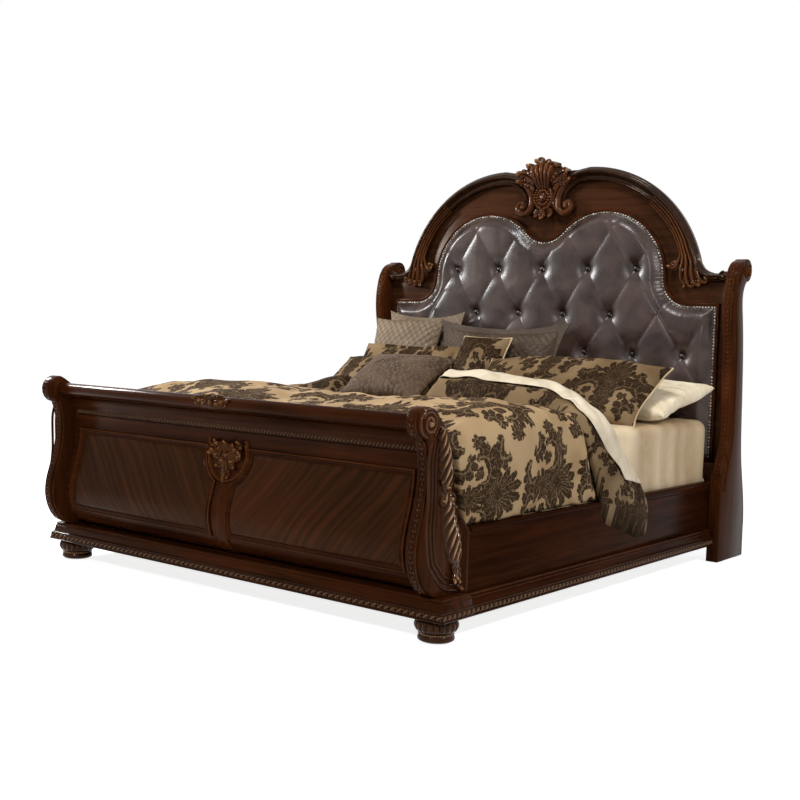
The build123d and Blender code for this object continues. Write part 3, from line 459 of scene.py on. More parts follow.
def quilted_satin(name, low=(0.138, 0.093, 0.055), high=(0.208, 0.148, 0.090)):
    """Taupe satin; the quilting itself is in the mesh, its stitch lines run here, darkened partly as
    stitching and partly as painted shade in the quilted grooves.
    """
    finish = Finish(name)
    cloth = finish.cloth()
    u, v, _ = finish.axes(cloth)
    first, second = ((u + v) / 0.040).fraction(), ((u - v) / 0.040).fraction()
    seam = abs(first - 0.5).fade(0.43, 0.5).most(abs(second - 0.5).fade(0.43, 0.5))
    lustre = finish.noise(cloth, 8.0, 2.0)
    colour = finish.ramp(lustre, (0.3, low), (0.7, high))
    # stitch lines darkened: partly the stitching, partly painted shade in the quilted grooves
    colour = finish.mix(seam * 0.85, colour, (0.050, 0.032, 0.019))
    normal = finish.bump(weave(finish, cloth, 700.0), 0.0002)
    return finish.done(
        Base_Color=colour, Roughness=0.34 + 0.2 * seam, Normal=normal, Specular_IOR_Level=0.18,
        Sheen_Weight=0.02, Sheen_Roughness=0.35
    )


def embossed_velvet(name):
    """Brown-grey velvet pressed with winding ridges."""
    finish = Finish(name)
    cloth = finish.cloth()
    warp = finish.axes(finish.noise(cloth, 22.0, 2.0, output="Color"))
    u, v, _ = finish.axes(cloth)
    lines = ((u * 190.0 + warp[0] * 13.0).sin() + (v * 150.0 + warp[1] * 15.0).sin()) * 0.5
    worm = abs(lines).fade(0.0, 0.36)
    lustre = finish.noise(cloth, 6.0, 2.0)
    pile = finish.mix(lustre.fade(0.3, 0.7), (0.052, 0.031, 0.018), (0.092, 0.058, 0.035))
    colour = finish.mix(worm, (0.120, 0.080, 0.051), pile)
    normal = finish.bump(1 - worm, 0.0012)
    return finish.done(
        Base_Color=colour, Roughness=0.58 + 0.1 * worm, Normal=normal, Specular_IOR_Level=0.10,
        Sheen_Weight=0.05, Sheen_Roughness=0.35
    )


def ticking(name):
    """Box spring cover: pale cloth with woven stripes."""
    finish = Finish(name)
    place = finish.place()
    x, y, _ = finish.axes(place)
    stripe = abs(((x + y) / 0.05).fraction() - 0.5).fade(0.08, 0.16)
    thread = finish.noise(place, 700.0, 1.0)
    colour = finish.mix(stripe * (0.7 + 0.3 * thread), (0.35, 0.34, 0.33), (0.62, 0.60, 0.56))
    return finish.done(Base_Color=colour, Roughness=0.8 + 0.1 * thread, Normal=finish.bump(thread, 0.0003))


def dull_panel(name):
    finish = Finish(name)
    fibre = finish.noise(finish.place(), 160.0, 3.0)
    colour = finish.ramp(fibre, (0.35, (0.10, 0.068, 0.04)), (0.65, (0.17, 0.12, 0.075)))
    return finish.done(Base_Color=colour, Roughness=0.75 + 0.1 * fibre, Normal=finish.bump(fibre, 0.0004))


WOOD = cherry("cherry_lengthwise")
WOOD_UPRIGHT = cherry("cherry_upright", "z", (0.0135, 0.0037, 0.0011), (0.078, 0.0215, 0.0056), gloss=0.06)
WOOD_RAIL = cherry("cherry_rail", "y", (0.0110, 0.0028, 0.0009), (0.052, 0.0138, 0.0038), gloss=0.03)
CARVED = cherry(
    "carved_cherry", "z", (0.0105, 0.0030, 0.0010), (0.070, 0.0185, 0.0050), (0.180, 0.062, 0.018),
    crest_highlight=0.55, gloss=0.17, rough=0.09
)
AMBER_CARVED = cherry(
    "carved_cherry_amber", "z", (0.0120, 0.0040, 0.0012), (0.085, 0.026, 0.006), (0.27, 0.105, 0.028),
    crest_highlight=0.5, gloss=0.10, rough=0.10
)
# the carved cherry with a stronger painted highlight on its crests, for the gadroons
BRIGHT_CARVED = cherry(
    "carved_cherry_bright", "z", (0.0100, 0.0028, 0.0009), (0.070, 0.0185, 0.0050), (0.22, 0.085, 0.030),
    crest_highlight=0.9, gloss=0.18, rough=0.08
)
HEAD_CARVED = cherry(
    "carved_cherry_head", "z", (0.0095, 0.0037, 0.0018), (0.037, 0.0138, 0.0062), (0.046, 0.0195, 0.0095),
    crest_highlight=0.85, gloss=0.18, rough=0.09, crest=0.84
)
CARVED_DARK = cherry(
    "carved_cherry_dark", "x", (0.0085, 0.0035, 0.0019), (0.036, 0.0140, 0.0062), (0.105, 0.055, 0.030),
    crest_highlight=0.4, gloss=0.14, rough=0.12
)
VENEER = ribbon_veneer("ribbon_veneer")
HEAD_VENEER = cherry("headboard_veneer", "x", (0.018, 0.0066, 0.0029), (0.062, 0.0225, 0.0096))
TIMBER = plain_timber("plain_timber")
LEATHER = tufted_leather("tufted_leather")
NAIL = metal("aged_nickel", (0.38, 0.335, 0.28), (0.06, 0.047, 0.034))
STEEL = metal("steel", (0.56, 0.56, 0.57), (0.32, 0.32, 0.33), 0.32)
NYLON = nylon("nylon")
# the fitted sheet's satin carries painted sheen bands over 0.42 of its colour
CHAMPAGNE = satin("champagne_satin", (0.30, 0.180, 0.074), (0.80, 0.630, 0.400), 0.30, 0.05, 0.003, 0.42)
CREAM = satin("cream_sheet", (0.50, 0.405, 0.275), (0.74, 0.64, 0.485), 0.45, 0.03, 0.004)
PILLOWCASE = satin("cream_pillowcase", (0.66, 0.50, 0.30), (0.96, 0.86, 0.66), 0.30, 0.03, 0.004)
DAMASK = damask("damask")
# the damask darkened as painted shade, for the fold and the pillows at the head
DAMASK_SHADED = damask(
    "damask_painted_shade", (0.140, 0.088, 0.042), (0.220, 0.148, 0.078), (0.018, 0.0088, 0.0040),
    (0.046, 0.027, 0.015)
)
QUILTED = quilted_satin("quilted_satin")
# the quilted satin darkened as painted shade, for the centre sham
QUILTED_SHADED = quilted_satin("quilted_satin_painted_shade", (0.036, 0.0200, 0.0096), (0.062, 0.037, 0.0195))
VELVET = embossed_velvet("embossed_velvet")
TICKING = ticking("ticking")
BOARD = dull_panel("fibre_board")


# ------------------------------------------------------------------ building meshes
def array(*numbers):
    return np.array(numbers, dtype=float)


X, Y, Z = array(1, 0, 0), array(0, 1, 0), array(0, 0, 1)


def unit(vectors):
    return vectors / np.maximum(np.linalg.norm(vectors, axis=-1, keepdims=True), 1e-9)


def smooth_step(low, high, value):
    share = np.clip((value - low) / (high - low), 0, 1)
    return share * share * (3 - 2 * share)


def outer_points(grid):
    """The points round a grid's edge, in order."""
    return np.concatenate([grid[:, 0], grid[-1, 1:], grid[-2::-1, -1], grid[0, -2:0:-1]])


def hump(value, centre, width):
    """A soft bell, 1 at its centre."""
    return np.exp(-(((value - centre) / width) ** 2))


class Shape:
    """Points and faces gathered for one mesh; each point's relief weights painted highlight or painted shade.
    """

    def __init__(self):
        self.points, self.faces, self.reliefs, self.cloth = [], [], [], []
        self.count = 0

    def add(self, points, faces, relief=0.0, cloth=None):
        points = np.asarray(points, dtype=float).reshape(-1, 3)
        self.points.append(points)
        self.faces.extend([tuple(corner + self.count for corner in face) for face in faces])
        self.reliefs.append(np.broadcast_to(np.asarray(relief, dtype=float).ravel(), (len(points),)))
        self.cloth.append(np.zeros((len(points), 2)) if cloth is None else np.asarray(cloth).reshape(-1, 2))
        self.count += len(points)

    def grid(self, points, relief=0.0, cloth=None, closed=(False, False), caps=False, flip=False):
        """A sheet of four-sided faces over an array of rows and columns of points."""
        rows, columns = points.shape[:2]
        faces = []
        for row in range(rows if closed[0] else rows - 1):
            for column in range(columns if closed[1] else columns - 1):
                first, second = row * columns + column, row * columns + (column + 1) % columns
                third, fourth = ((row + 1) % rows) * columns + (column + 1) % columns, ((
                    row + 1
                ) % rows) * columns + column
                faces.append((first, second, third, fourth))
        if caps:
            faces.append(tuple(reversed(range(columns))))
            faces.append(tuple(range((rows - 1) * columns, rows * columns)))
        if flip:
            faces = [tuple(reversed(face)) for face in faces]
        self.add(points, faces, relief, cloth)

    def bead(self, centre, right, up, out, relief=1.0, around=10, rings=3):
        """Half an egg standing on a surface; right, up and out are its radii."""
        turns = np.arange(around) * math.tau / around
        points = [centre + out]
        for ring in range(1, rings + 1):
            lean = ring / rings * math.pi / 2
            for turn in turns:
                points.append(
                    centre + out * math.cos(lean)
                    + math.sin(lean) * (right * math.cos(turn) + up * math.sin(turn))
                )
        faces = [(0, 1 + number, 1 + (number + 1) % around) for number in range(around)]
        for ring in range(rings - 1):
            base = 1 + ring * around
            for number in range(around):
                after = (number + 1) % around
                faces.append((base + number, base + around + number, base + around + after, base + after))
        faces.append(tuple(reversed(range(1 + (rings - 1) * around, 1 + rings * around))))
        self.add(points, faces, relief)

    def boss(self, place, wide, tall, high, relief=1.0, around=10, rings=3):
        """A bead that faces the foot of the bed."""
        self.bead(place, X * wide, Z * tall, -Y * high, relief, around, rings)

    def run(self, path, side, out, profile, relief):
        """A closed moulding: a profile carried along a path."""
        self.grid(sweep(path, side, out, profile), relief=relief, closed=(False, True), caps=True)

    def make(self, name, finish, body="root", takes=(), sharp=40):
        mesh = bpy.data.meshes.new(name)
        mesh.from_pydata(np.concatenate(self.points).tolist(), [], self.faces)
        mesh.update()
        layer = mesh.uv_layers.new(name="cloth")
        cloth = np.concatenate(self.cloth)
        corners = np.zeros(len(mesh.loops), dtype=np.int32)
        mesh.loops.foreach_get("vertex_index", corners)
        layer.data.foreach_set("uv", cloth[corners].ravel())
        relief = mesh.attributes.new("relief", "FLOAT", "POINT")
        relief.data.foreach_set("value", np.concatenate(self.reliefs))
        return settle(mesh, name, finish, body, takes, sharp)


def settle(mesh, name, finish, body, takes, sharp):
    """Turn faces outwards, shade them and put the piece in the scene."""
    work = bmesh.new()
    work.from_mesh(mesh)
    bmesh.ops.recalc_face_normals(work, faces=work.faces)
    work.to_mesh(mesh)
    work.free()
    mesh.polygons.foreach_set("use_smooth", [True] * len(mesh.polygons))
    mesh.set_sharp_from_angle(angle=math.radians(sharp))
    mesh.materials.clear()
    mesh.materials.append(finish)
    piece = bpy.data.objects.new(name, mesh)
    scene.collection.objects.link(piece)
    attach(piece, body)
    if takes:
        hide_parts(*takes)
    return piece


def dress(node, finish, edge=0.002):
    """A CAD solid with its sharp edges eased as a wood shop eases them."""
    mesh = nodes[node].data.copy()
    work = bmesh.new()
    work.from_mesh(mesh)
    bmesh.ops.remove_doubles(work, verts=work.verts, dist=1e-5)
    bmesh.ops.dissolve_limit(work, angle_limit=math.radians(0.3), verts=work.verts, edges=work.edges)
    sharp = [
        line for line in work.edges if len(line.link_faces) == 2 and line.calc_face_angle() > math.radians(32)
    ]
    bmesh.ops.bevel(
        work, geom=sharp, offset=edge, segments=2, profile=0.5, affect="EDGES", clamp_overlap=True
    )
    bmesh.ops.triangulate(work, faces=[face for face in work.faces if len(face.verts) > 4])
    work.to_mesh(mesh)
    work.free()
    return settle(mesh, node + ".finish", finish, "root", (node,), 30)


def surface(node):
    """The CAD solid as something that can be felt from outside."""
    mesh = nodes[node].data
    return BVHTree.FromPolygons([
        vertex.co.copy() for vertex in mesh.vertices
    ], [tuple(face.vertices) for face in mesh.polygons])


def feel(tree, start, direction, otherwise=None):
    """Where a straight line from start first meets the surface."""
    hit = tree.ray_cast(Vector(start), Vector(direction))[0]
    return otherwise if hit is None else hit


def sweep(path, side, out, profile):
    """Rows of points: a profile of (sideways, outwards) pairs carried along a path."""
    profile = np.asarray(profile, dtype=float)
    side, out = (np.broadcast_to(way, path.shape)[:, None] for way in (side, out))
    return path[:, None] + side * profile[..., :1] + out * profile[..., 1:]


def arc(centre, radius, start, end, count):
    """Points (a, b) of an arc between two angles in degrees."""
    turns = np.radians(np.linspace(start, end, count))
    return np.stack([centre[0] + radius * np.cos(turns), centre[1] + radius * np.sin(turns)], axis=1)


def along(points, step):
    """The same line with points a step apart."""
    points = np.asarray(points, dtype=float)
    gone = np.concatenate([[0], np.cumsum(np.linalg.norm(np.diff(points, axis=0), axis=1))])
    count = max(2, int(round(gone[-1] / step)) + 1)
    places = np.linspace(0, gone[-1], count)
    return np.stack([np.interp(places, gone, points[:, axis]) for axis in range(points.shape[1])], axis=1)


def curve(points, count):
    """A smooth line through a few points (Catmull-Rom)."""
    points = np.asarray(points, dtype=float)
    padded = np.concatenate([[2 * points[0] - points[1]], points, [2 * points[-1] - points[-2]]])
    places = np.linspace(0, len(points) - 1 - 1e-9, count)
    spans = places.astype(int)
    share = (places - spans)[:, None]
    before, start, end, after = (padded[spans + step] for step in range(4))
    return 0.5 * (
        2 * start + (end - before) * share + (2 * before - 5 * start + 4 * end - after) * share**2
        + (3 * start - before - 3 * end + after) * share**3
    )


def directions(path):
    return unit(np.gradient(path, axis=0))


HALF_ROUND = np.array([(math.cos(turn), math.sin(turn)) for turn in np.linspace(math.pi, 0, 7)])


def ridge(shape, path, out, width, height, relief=0.8, side=None, sink=0.002):
    """A half-round moulding laid along a path."""
    side = unit(np.cross(directions(path), out)) if side is None else side
    profile = [(across * width, -sink + (height + sink) * up) for across, up in HALF_ROUND]
    shape.run(path, side, out, profile, relief)


def spiral(shape, centre, right, up, out, radius, turns, thick, high, start=0.0, steps=60):
    """A carved volute: a ridge that winds in to an eye."""
    share = np.linspace(0, 1, steps)
    reach = radius * (1 - share) ** 0.85 + thick * 0.4
    turn = start + turns * math.tau * share
    path = centre + reach[:, None] * (np.cos(turn)[:, None] * right + np.sin(turn)[:, None] * up)
    side = np.cos(turn)[:, None] * right + np.sin(turn)[:, None] * up
    width = thick * (1 - 0.45 * share)
    tall = high * (0.75 + 0.5 * share)
    profile = HALF_ROUND[None] * np.stack([width, tall], axis=1)[:, None]
    # painted highlight, rising towards the volute's eye
    shape.run(path, side, out, profile, 0.55 + 0.45 * share.repeat(7))
    shape.bead(centre, right * thick * 0.95, up * thick * 0.95, out * high * 1.5)


def leaf(shape, root, heading, out, length, width, bend, curl, lobes):
    """An acanthus leaf: a bending spine, deep lobes with ribs, and a tip that curls forward.

    heading is its first direction on the surface, out the way off the surface, bend its turning in
    radians, and curl how far the tip stands off, as a share of the width, as rise is for the body.
    """
    rise, rows, columns = 0.25, 30, 11
    share, across = np.linspace(0, 1, rows), np.linspace(-1, 1, columns)
    cross = unit(np.cross(out, heading))
    turn = bend * share
    run = np.cos(turn)[:, None] * heading + np.sin(turn)[:, None] * cross
    side = -np.sin(turn)[:, None] * heading + np.cos(turn)[:, None] * cross
    spine = root + np.cumsum(run, axis=0) * (length / rows)
    notch = np.abs(np.sin(share * lobes * math.pi)) ** 0.6
    half = width / 2 * (np.sin(math.pi * np.clip(share * 0.93 + 0.07, 0, 1) ** 0.8) ** 0.7) * (
        0.62 + 0.38 * notch
    )
    grid_share, grid_across = np.meshgrid(share, across, indexing="ij")
    forward = 0.55 * length / lobes * np.abs(grid_across) ** 1.5
    ribs = 0.5 + 0.5 * np.cos((grid_share * lobes - np.abs(grid_across) * 0.55) * math.tau)
    body = rise * (1 - 0.35 * grid_share) * (1 - grid_across**2 * 0.75) + 0.10 * ribs * np.abs(grid_across)
    vein = 0.10 * np.exp(-((grid_across / 0.14) ** 2))
    tip = curl * np.clip((grid_share - 0.55) / 0.45, 0, 1) ** 2
    high = width * np.maximum(body - vein + tip, 0.02)
    points = (
        spine[:, None] + run[:, None] * forward[..., None]
        + side[:, None] * (half[:, None] * grid_across)[..., None] + out * high[..., None]
    )
    # painted highlight: more on the leaf's raised body and curled tip, less along its vein
    bright = np.clip((body - vein) / (rise + 0.1) * 0.9 + tip * 1.5, 0, 1)
    rim = np.concatenate([points[0], points[1:, -1], points[-1, -2::-1], points[-2:0:-1, 0]])
    base = rim - out * np.tensordot(rim - root, out, axes=1)[:, None] - out * 0.003
    count = len(rim)
    shape.grid(points, relief=bright)
    shape.grid(np.stack([rim, base]), relief=0.1, closed=(False, True))
    shape.add([*base], [tuple(range(count))], 0.0)


def lathe(shape, centre, profile, around, flute=None, relief=None):
    """A turned piece about a vertical axis; flute(turn, share) scales its radius."""
    turns = np.arange(around) * math.tau / around
    rows = []
    for number, (radius, height) in enumerate(profile):
        scale = 1.0 if flute is None else flute(turns, number / (len(profile) - 1))
        rows.append(
            np.stack([
                radius * scale * np.cos(turns), radius * scale * np.sin(turns), np.full(around, height)
            ], axis=1)
        )
    points = np.array(rows) + array(*centre)
    shape.grid(points, relief=0.0 if relief is None else relief, closed=(False, True), caps=True)


# ---------------------------------------------------------------- plain woodwork
def woodwork():
    """The plain pieces keep their CAD shape; the hidden ones get their material only."""
    for side, _ in SIDES:
        dress(f"side_rail_{side}", WOOD_RAIL, 0.003)
        dress(f"side_plinth_{side}", WOOD_RAIL, 0.0015)
        dress(f"foot_post_{side}", WOOD_UPRIGHT, 0.004)
        dress(f"head_post_{side}", WOOD_UPRIGHT, 0.004)
    dress("foot_plinth", WOOD, 0.0015)
    dress("foot_panel", WOOD, 0.002)
    dress("foot_roll", WOOD, 0.003)
    dress("centre_stile", WOOD_UPRIGHT, 0.0015)
    dress("raised_panels", VENEER, 0.002)
    dress("head_panel", HEAD_VENEER, 0.003)
    dress("head_lower_rail", HEAD_VENEER, 0.002)
    dress("upholstery_moulding", WOOD, 0.003)
    for node, finish in (
        ("rail_cleats", TIMBER), ("slats", TIMBER), ("centre_beam", TIMBER), ("centre_legs", TIMBER),
        ("upholstery_board", BOARD), ("hook_plates", STEEL), ("beam_brackets", STEEL), ("slat_screws", STEEL),
        ("leveler_stem_1", STEEL), ("leveler_stem_2", STEEL), ("leveler_pad_1", NYLON),
        ("leveler_pad_2", NYLON), ("foot_glides", NYLON)
    ):
        materials = nodes[node].data.materials
        materials.clear()
        materials.append(finish)


woodwork()


# -------------------------------------------------------------- footboard carving
POST_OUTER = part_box("foot_post_right")[1].x
POST_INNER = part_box("foot_post_right")[0].x
SCROLL_Y, SCROLL_Z, SCROLL_R = FOOT - 0.036, 0.729, 0.053
FIELD_LOW, FIELD_HIGH = 0.225, 0.567
FIELD_OUTER, STILE_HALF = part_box("panel_mouldings")[1].x, 0.042
ROUNDEL_Z, ROUNDEL_R = 0.537, 0.107


def panel_line():
    """The footboard panel's seen face: its y at a height."""
    tree = surface("foot_panel")
    heights = np.arange(0.16, 0.691, 0.005)
    depths = [feel(tree, (0.4, FOOT - 0.5, height), (0, 1, 0), Vector((0, FOOT, 0))).y for height in heights]
    return lambda z: np.interp(z, heights, depths)


panel_y = panel_line()


def field_path(sign, inset):
    """A framed field's outline (x, z), drawn in by an inset; hollowed beside the roundel."""
    step = 0.012
    left, right, low, high = STILE_HALF + inset, FIELD_OUTER - inset, FIELD_LOW + inset, FIELD_HIGH - inset
    reach = ROUNDEL_R + 0.002 + inset
    above = math.degrees(math.asin((high - ROUNDEL_Z) / reach))
    below = -math.degrees(math.acos(left / reach))
    corners = [(reach * math.cos(math.radians(above)), high), (right, high), (right, low), (left, low),
               (left, ROUNDEL_Z + reach * math.sin(math.radians(below)))]
    counts = [int(0.8 / step), int(0.34 / step), int(0.84 / step), int(0.2 / step)]
    parts = [
        np.linspace(first, last, count, endpoint=False)
        for first, last, count in zip(corners, corners[1:], counts)
    ]
    parts.append(arc((0, ROUNDEL_Z), reach, below, above, 18)[:-1])
    line = np.concatenate(parts)
    return line * array(sign, 1)


# the field's moulding: (how far in, how far out) in millimetres, and how much painted highlight each edge
# gets
OGEE = [
    (0, -1), (0, 8), (1.0, 10.5), (3.0, 12.0), (5.2, 11.4), (6.6, 9.6), (8.6, 7.0), (11.6, 5.4), (15.0, 5.6),
    (17.4, 7.2), (19.4, 8.6), (21.0, 8.2), (22.0, 6.6), (22.4, -1)
]
OGEE_RELIEF = [0, 0.2, 0.75, 0.8, 0.55, 0.2, 0.05, 0, 0.05, 0.25, 0.55, 0.5, 0.1, 0]


def framed_fields():
    """The ogee moulding round each field: outer bead, cove, small inner bead; painted highlight on the beads,
    none in the dark cove.
    """
    shape = Shape()
    for _, sign in SIDES:
        rows = []
        for inset, high in OGEE:
            line = field_path(sign, inset / 1000)
            rows.append(np.stack([line[:, 0], panel_y(line[:, 1]) - high / 1000, line[:, 1]], axis=1))
        relief = np.repeat(np.array(OGEE_RELIEF)[:, None], len(rows[0]), axis=1)
        shape.grid(np.array(rows), relief=relief, closed=(True, True))
    shape.make("panel_mouldings.ogee", WOOD, takes=("panel_mouldings",), sharp=38)


def on_panel(points):
    """Points (x, z) laid on the footboard's face."""
    return np.stack([points[:, 0], panel_y(points[:, 1]), points[:, 1]], axis=1)


def roundel():
    """The open U round the carving, with its small upright ears."""
    shape = Shape()
    middle = ROUNDEL_R - 0.007
    opening = math.degrees(math.asin(0.040 / middle))
    path = on_panel(arc((0, ROUNDEL_Z), middle, 180 - opening, 360 + opening, 70))
    ridge(shape, path, -Y, 0.0070, 0.0135, 0.75, sink=0.004)
    for sign in (-1, 1):
        reach = sign * middle * 0.955
        ear = on_panel(np.array([(reach * 1.02, 0.560), (reach * 1.05, 0.577), (reach, 0.594)]))
        ridge(shape, along(ear, 0.006), -Y, 0.0045, 0.012, 0.85)
    shape.make("roundel.rim", WOOD, takes=("roundel",))


def cluster(name, node, leaves, extra, finish=CARVED):
    """An ornament of acanthus leaves: (x, z, y, degrees, length, width, bend, curl, lobes).

    extra adds the rest of its carving to the shape.
    """
    shape = Shape()
    for x, z, y, degrees, length, width, bend, curl, lobes in leaves:
        turn = math.radians(degrees)
        heading = array(math.cos(turn), 0, math.sin(turn))
        leaf(shape, array(x, y, z), heading, -Y, length, width, bend, curl, lobes)
    extra(shape)
    shape.make(name, finish, takes=(node,))


def mirrored(leaves):
    """The same leaves on both sides of the bed's middle."""
    return leaves + [(-x, z, y, 180 - degrees, length, width, -bend, curl, lobes)
                     for x, z, y, degrees, length, width, bend, curl, lobes in leaves]


def roundel_carving():
    """A mass of curling foliage, wide at the top, that gathers into a pendant."""
    def at(x, z, high=0.0):
        return x, z, float(panel_y(z)) - high

    leaves = mirrored([
        (*at(0.020, 0.536, 0.010), 30, 0.066, 0.040, -1.0, 0.45, 5),
        (*at(0.026, 0.524, 0.008), -4, 0.056, 0.036, 1.2, 0.45, 5),
        (*at(0.016, 0.548, 0.012), 66, 0.040, 0.034, -0.8, 0.5, 4),
        (*at(0.052, 0.548, 0.008), 42, 0.040, 0.030, 1.2, 0.5, 3),
        (*at(0.012, 0.508, 0.008), -48, 0.040, 0.030, 0.8, 0.45, 4),
        (*at(0.008, 0.486, 0.008), -72, 0.036, 0.026, -0.4, 0.4, 3),
    ])
    leaves += [(
        *at(0, 0.520, 0.014), -90, 0.064, 0.036, 0.0, 0.35, 5
    ), (*at(0, 0.474, 0.010), -90, 0.038, 0.028, 0.0, 0.4, 4)]
    leaves += [(*at(0, 0.540, 0.014), 90, 0.044, 0.036, 0.0, 0.5, 4)]

    def curls(shape):
        for x, z, size in ((
            0, 0.534, 0.009
        ), (0.074, 0.566, 0.007), (-0.074, 0.566, 0.007), (0, 0.446, 0.007)):
            shape.boss(array(x, float(panel_y(z)) - 0.014, z), size, size, size, 0.70)
        for x, z, radius, start in ((
            0.040, 0.556, 0.017, 0.5
        ), (0.060, 0.532, 0.013, 3.6), (0.026, 0.512, 0.013, 4.4)):
            for sign in (-1, 1):
                centre = array(sign * x, float(panel_y(z)) - 0.009, z)
                spiral(shape, centre, X * sign, Z, -Y, radius, 1.3, 0.0036, 0.009, start=start, steps=30)
        for x, z, wide, tall, high in ((0, 0.540, 0.078, 0.032, 0.020), (0, 0.500, 0.030, 0.050, 0.017)):
            shape.boss(array(x, float(panel_y(z)) + 0.004, z), wide, tall, high, 0.25, 32, 6)

    cluster("roundel_carving.leaves", "roundel_carving", leaves, curls, AMBER_CARVED)


def roll_carving():
    """A low oval of leaves over the middle of the roll."""
    low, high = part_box("roll_carving")
    middle_z, face = (low.z + high.z) / 2 + 0.002, low.y + 0.012
    leaves = mirrored([
        (0.012, middle_z + 0.002, face, 2, 0.080, 0.036, 0.25, 0.3, 6),
        (0.016, middle_z - 0.006, face + 0.002, -8, 0.062, 0.030, 0.3, 0.3, 5),
        (0.014, middle_z + 0.009, face + 0.004, 16, 0.058, 0.032, -0.5, 0.3, 5),
        (0.008, middle_z + 0.008, face + 0.004, 50, 0.026, 0.028, -0.6, 0.3, 3),
    ])

    def heart(shape):
        shape.boss(array(0, face + 0.006, middle_z), 0.082, 0.026, 0.018, 0.25, 32, 6)
        shape.boss(array(0, face - 0.010, middle_z), 0.010, 0.008, 0.008, 0.7)
        for x, drop, radius, start in ((0.034, -0.002, 0.012, 0.6), (0.058, 0.004, 0.009, 3.4)):
            for sign in (-1, 1):
                spiral(
                    shape, array(sign * x, face - 0.007, middle_z + drop), X * sign, Z, -Y, radius, 1.3,
                    0.0032, 0.009, start=start, steps=30
                )

    cluster("roll_carving.leaves", "roll_carving", leaves, heart, AMBER_CARVED)


def rope_moulding():
    """Slanting beads between two fillets, the length of the panel."""
    low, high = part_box("rope_moulding")
    face, height, pitch = low.y + 0.003, (low.z + high.z) / 2, 0.0165
    shape = Shape()
    heading, across = unit(array(0.62, 0, 0.78)), unit(array(0.78, 0, -0.62))
    for number in range(int((high.x - low.x) / pitch)):
        place = array(low.x + (number + 0.5) * pitch, face + 0.004, height)
        shape.bead(place, heading * 0.0125, across * 0.0052, -Y * 0.0095, relief=0.80, around=10, rings=3)
    for offset in (-0.0135, 0.0135):
        path = along(
            np.array([(low.x, face + 0.005, height + offset), (high.x, face + 0.005, height + offset)]), 0.05
        )
        ridge(shape, path, -Y, 0.0022, 0.0050, 0.35, side=Z)
    shape.make("rope_moulding.twist", CARVED_DARK, takes=("rope_moulding",))


def line_on_post(tree, x, heights, push=0.0):
    """The front curve of a post or band at some heights, as points and outward turns."""
    depths = np.array([feel(tree, (x, -4, height), (0, 1, 0), Vector((0, 9, 0))).y for height in heights])
    path = np.stack([np.full(len(heights), x), depths, heights], axis=1)
    run = directions(path)
    out = unit(np.cross(run, X))
    out = np.where(out[:, 1:2] > 0, -out, out)
    return path + out * push, out


def bead_band(name, node, half, low, high, pitch):
    """The carved band up the front of a post: small leaves and darts between two fillets."""
    dress(node, WOOD_UPRIGHT, 0.001)
    tree = surface(node)
    shape = Shape()
    for _, sign in SIDES:
        x = sign * half
        heights = np.arange(low, high, 0.008)
        path, out = line_on_post(tree, x, heights, -0.0005)
        places = along(path, pitch)
        turns = np.stack([np.interp(places[:, 2], path[:, 2], out[:, axis]) for axis in range(3)], axis=1)
        runs = directions(places)
        for number, (place, run, face) in enumerate(zip(places, runs, turns)):
            if number % 2:
                for lean in (-1, 1):
                    heading = unit(run * 0.8 + X * lean * 0.7)
                    shape.bead(
                        place + X * lean * 0.0055, heading * 0.0085, unit(np.cross(face, heading)) * 0.0038,
                        face * 0.0046, 0.55, around=8, rings=2
                    )
            else:
                shape.bead(place, X * 0.0050, run * 0.0066, face * 0.0050, 0.55, around=8, rings=2)
        for lean in (-1, 1):
            ridge(shape, path + X * lean * 0.0150, out, 0.0024, 0.0032, 0.4, side=X)
    shape.make(name, CARVED)


